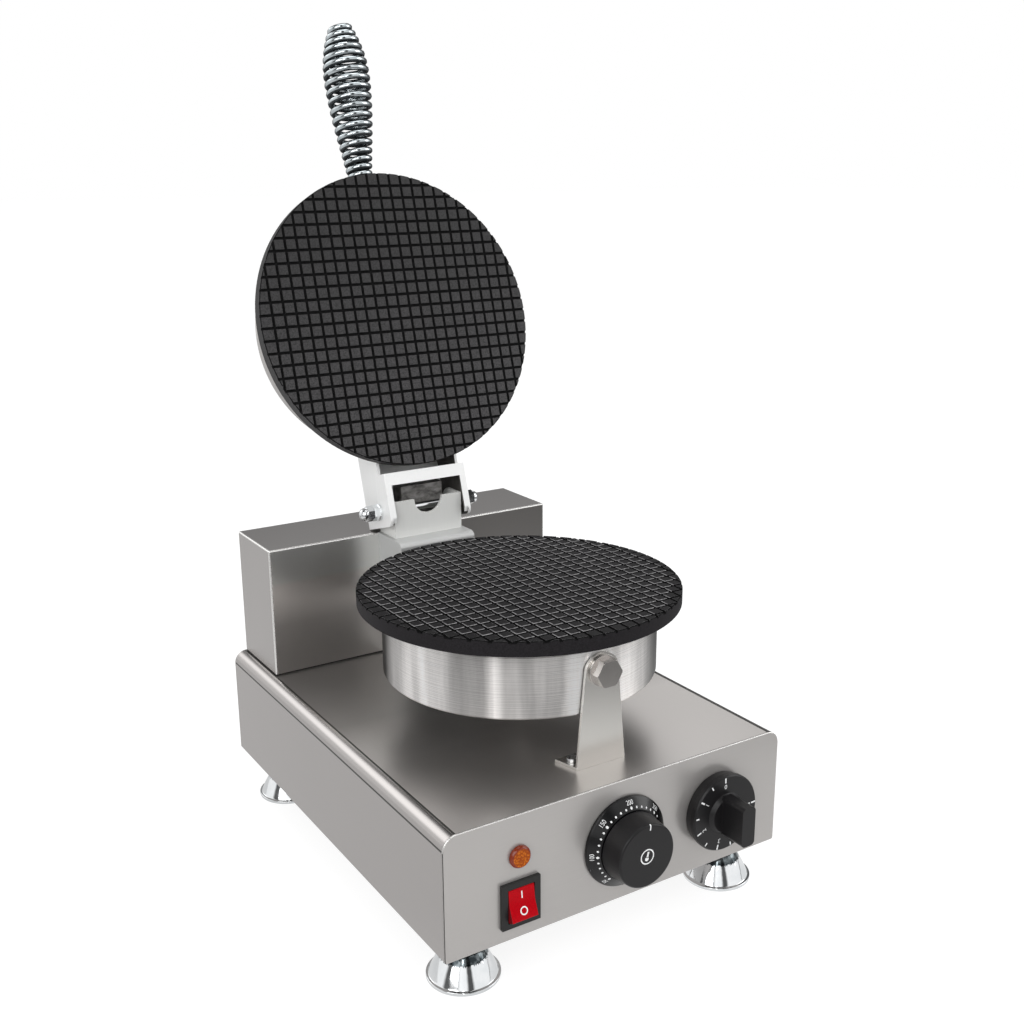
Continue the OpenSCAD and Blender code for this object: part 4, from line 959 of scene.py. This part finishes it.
# %% Print the thermostat's scale
RING_EDGE, RING_INNER, RING_LOW, RING_RISE = 28.9, 22.2, 2, 4.9
KNOB_RADIUS, KNOB_ROUND = 20.2, 1.5
SCALE_START, DOT_STEP, DOTS_A_NUMBER, DOTS_AT, NUMBERS_AT = 231, 9.5, 5, 23.6, 26.2
SIGN_RADIUS, BULB, BULB_DROP, SIGN_TIP = 4.9, 1.3, 1.5, 15

def cone_height(r):
    slope_width = RING_EDGE - RING_INNER
    return RING_LOW + min(max(RING_EDGE - r, 0), slope_width) * RING_RISE / slope_width

def draw_scale(shape):
    for i in range(22):
        dot(shape, SCALE_START - DOT_STEP * i, DOTS_AT, 0.78 if i % DOTS_A_NUMBER == 0 else 0.58)
    for i, word in enumerate(("50", "100", "150", "200", "250")):
        digits(shape, word, SCALE_START - DOTS_A_NUMBER * DOT_STEP * i, NUMBERS_AT, 3.3)

def draw_pointer(shape):
    tick(shape, 84, 16.6, 20.1, 0.85, 14)

def draw_thermometer(shape):
    ring(shape, 40, SIGN_RADIUS, 0.84)
    bulb = bmesh.ops.create_circle(shape, cap_ends=True, segments=20, radius=BULB)["verts"]
    bmesh.ops.translate(shape, vec=(0, -BULB_DROP, 0), verts=bulb)
    bar(shape, BULB, 3.8, 0, 1.2)
    turn_round(shape, shape.verts[:], -SIGN_TIP)

def knob_height(r):
    """The knob's flat face, then the round of its rim."""
    over = max(r - (KNOB_RADIUS - KNOB_ROUND), 0)
    return knob_face - KNOB_ROUND + math.sqrt(max(KNOB_ROUND ** 2 - over ** 2, 0))

knob_face = (front_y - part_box("thermostat_knob")[0].y) / MM
flat_mark("thermostat_scale", thermostat, "base", draw_scale, cone_height)
flat_mark("thermostat_pointer", thermostat, "thermostat_dial", draw_pointer, knob_height)
flat_mark("thermostat_sign", thermostat, "thermostat_dial", draw_thermometer, knob_height)
print("knob face stands", round(knob_face, 2), "mm in front of the housing")

# %% [markdown]
# The timer's numbers sit on its skirt and turn with it. A longer stroke stands at each whole minute,
# and two strokes are half a minute apart.

# %% Print the timer's numbers
SKIRT_FACE, FIRST_STROKE, STROKE_STEP = 9.5, 93, 27

def draw_minutes(shape):
    for i in range(11):
        angle = FIRST_STROKE + STROKE_STEP * i
        if i % 2 == 0:
            tick(shape, angle, 20.9, 24.2, 1.05)
            digits(shape, str(i // 2), angle, 18.2, 4.2)
        else:
            tick(shape, angle, 21.6, 24.0, 0.9)

flat_mark("timer_numbers", timer, "timer_dial", draw_minutes, lambda r: SKIRT_FACE)
grip_face = (front_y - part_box("timer_knob")[0].y) / MM
print("timer grip stands", round(grip_face, 2), "mm in front of the housing")

# %% [markdown]
# The rocker carries a stroke for on and a ring for off. Its two faces slope, so each mark is drawn
# flat and then turned into the plane of its face.

# %% Print the switch
ROCKER_RADIUS, ROCKER_VALLEY, ROCKER_ARC, ROCKER_TIP = 10.3, 3, 24, 14.5

def rocker_mark(name, draw, slope, along):
    shape = bmesh.new()
    draw(shape)
    bmesh.ops.scale(shape, vec=(MM, MM, MM), verts=shape.verts[:])
    face_turn = Matrix.Rotation(math.radians(-ROCKER_TIP), 4, "X")
    lean = Matrix.Rotation(slope, 4, "X")
    stand = Matrix.Rotation(math.radians(90), 4, "X")
    shape.transform(Matrix.Translation(rocker_axis) @ face_turn
                    @ Matrix.Translation((0, -ROCKER_VALLEY * MM, 0)) @ lean
                    @ Matrix.Translation((0, -PRINT_LIFT * MM, along * MM)) @ stand)
    printed(name, shape, "rocker")

def draw_stroke(shape):
    bar(shape, 0.75, 4.4)

def draw_ring(shape):
    ring(shape, 32, 2.5, 0.70)
    for face in shape.faces:
        if face.normal.z < 0:
            face.normal_flip()

arc = math.radians(ROCKER_ARC)
face_slope = math.atan2(ROCKER_RADIUS * math.sin(arc) - ROCKER_VALLEY, ROCKER_RADIUS * math.cos(arc))
rocker_mark("switch_on_mark", draw_stroke, face_slope, 5.2)
rocker_mark("switch_off_mark", draw_ring, -face_slope, -4.4)
print("rocker face slope:", round(math.degrees(face_slope), 1), "degrees")
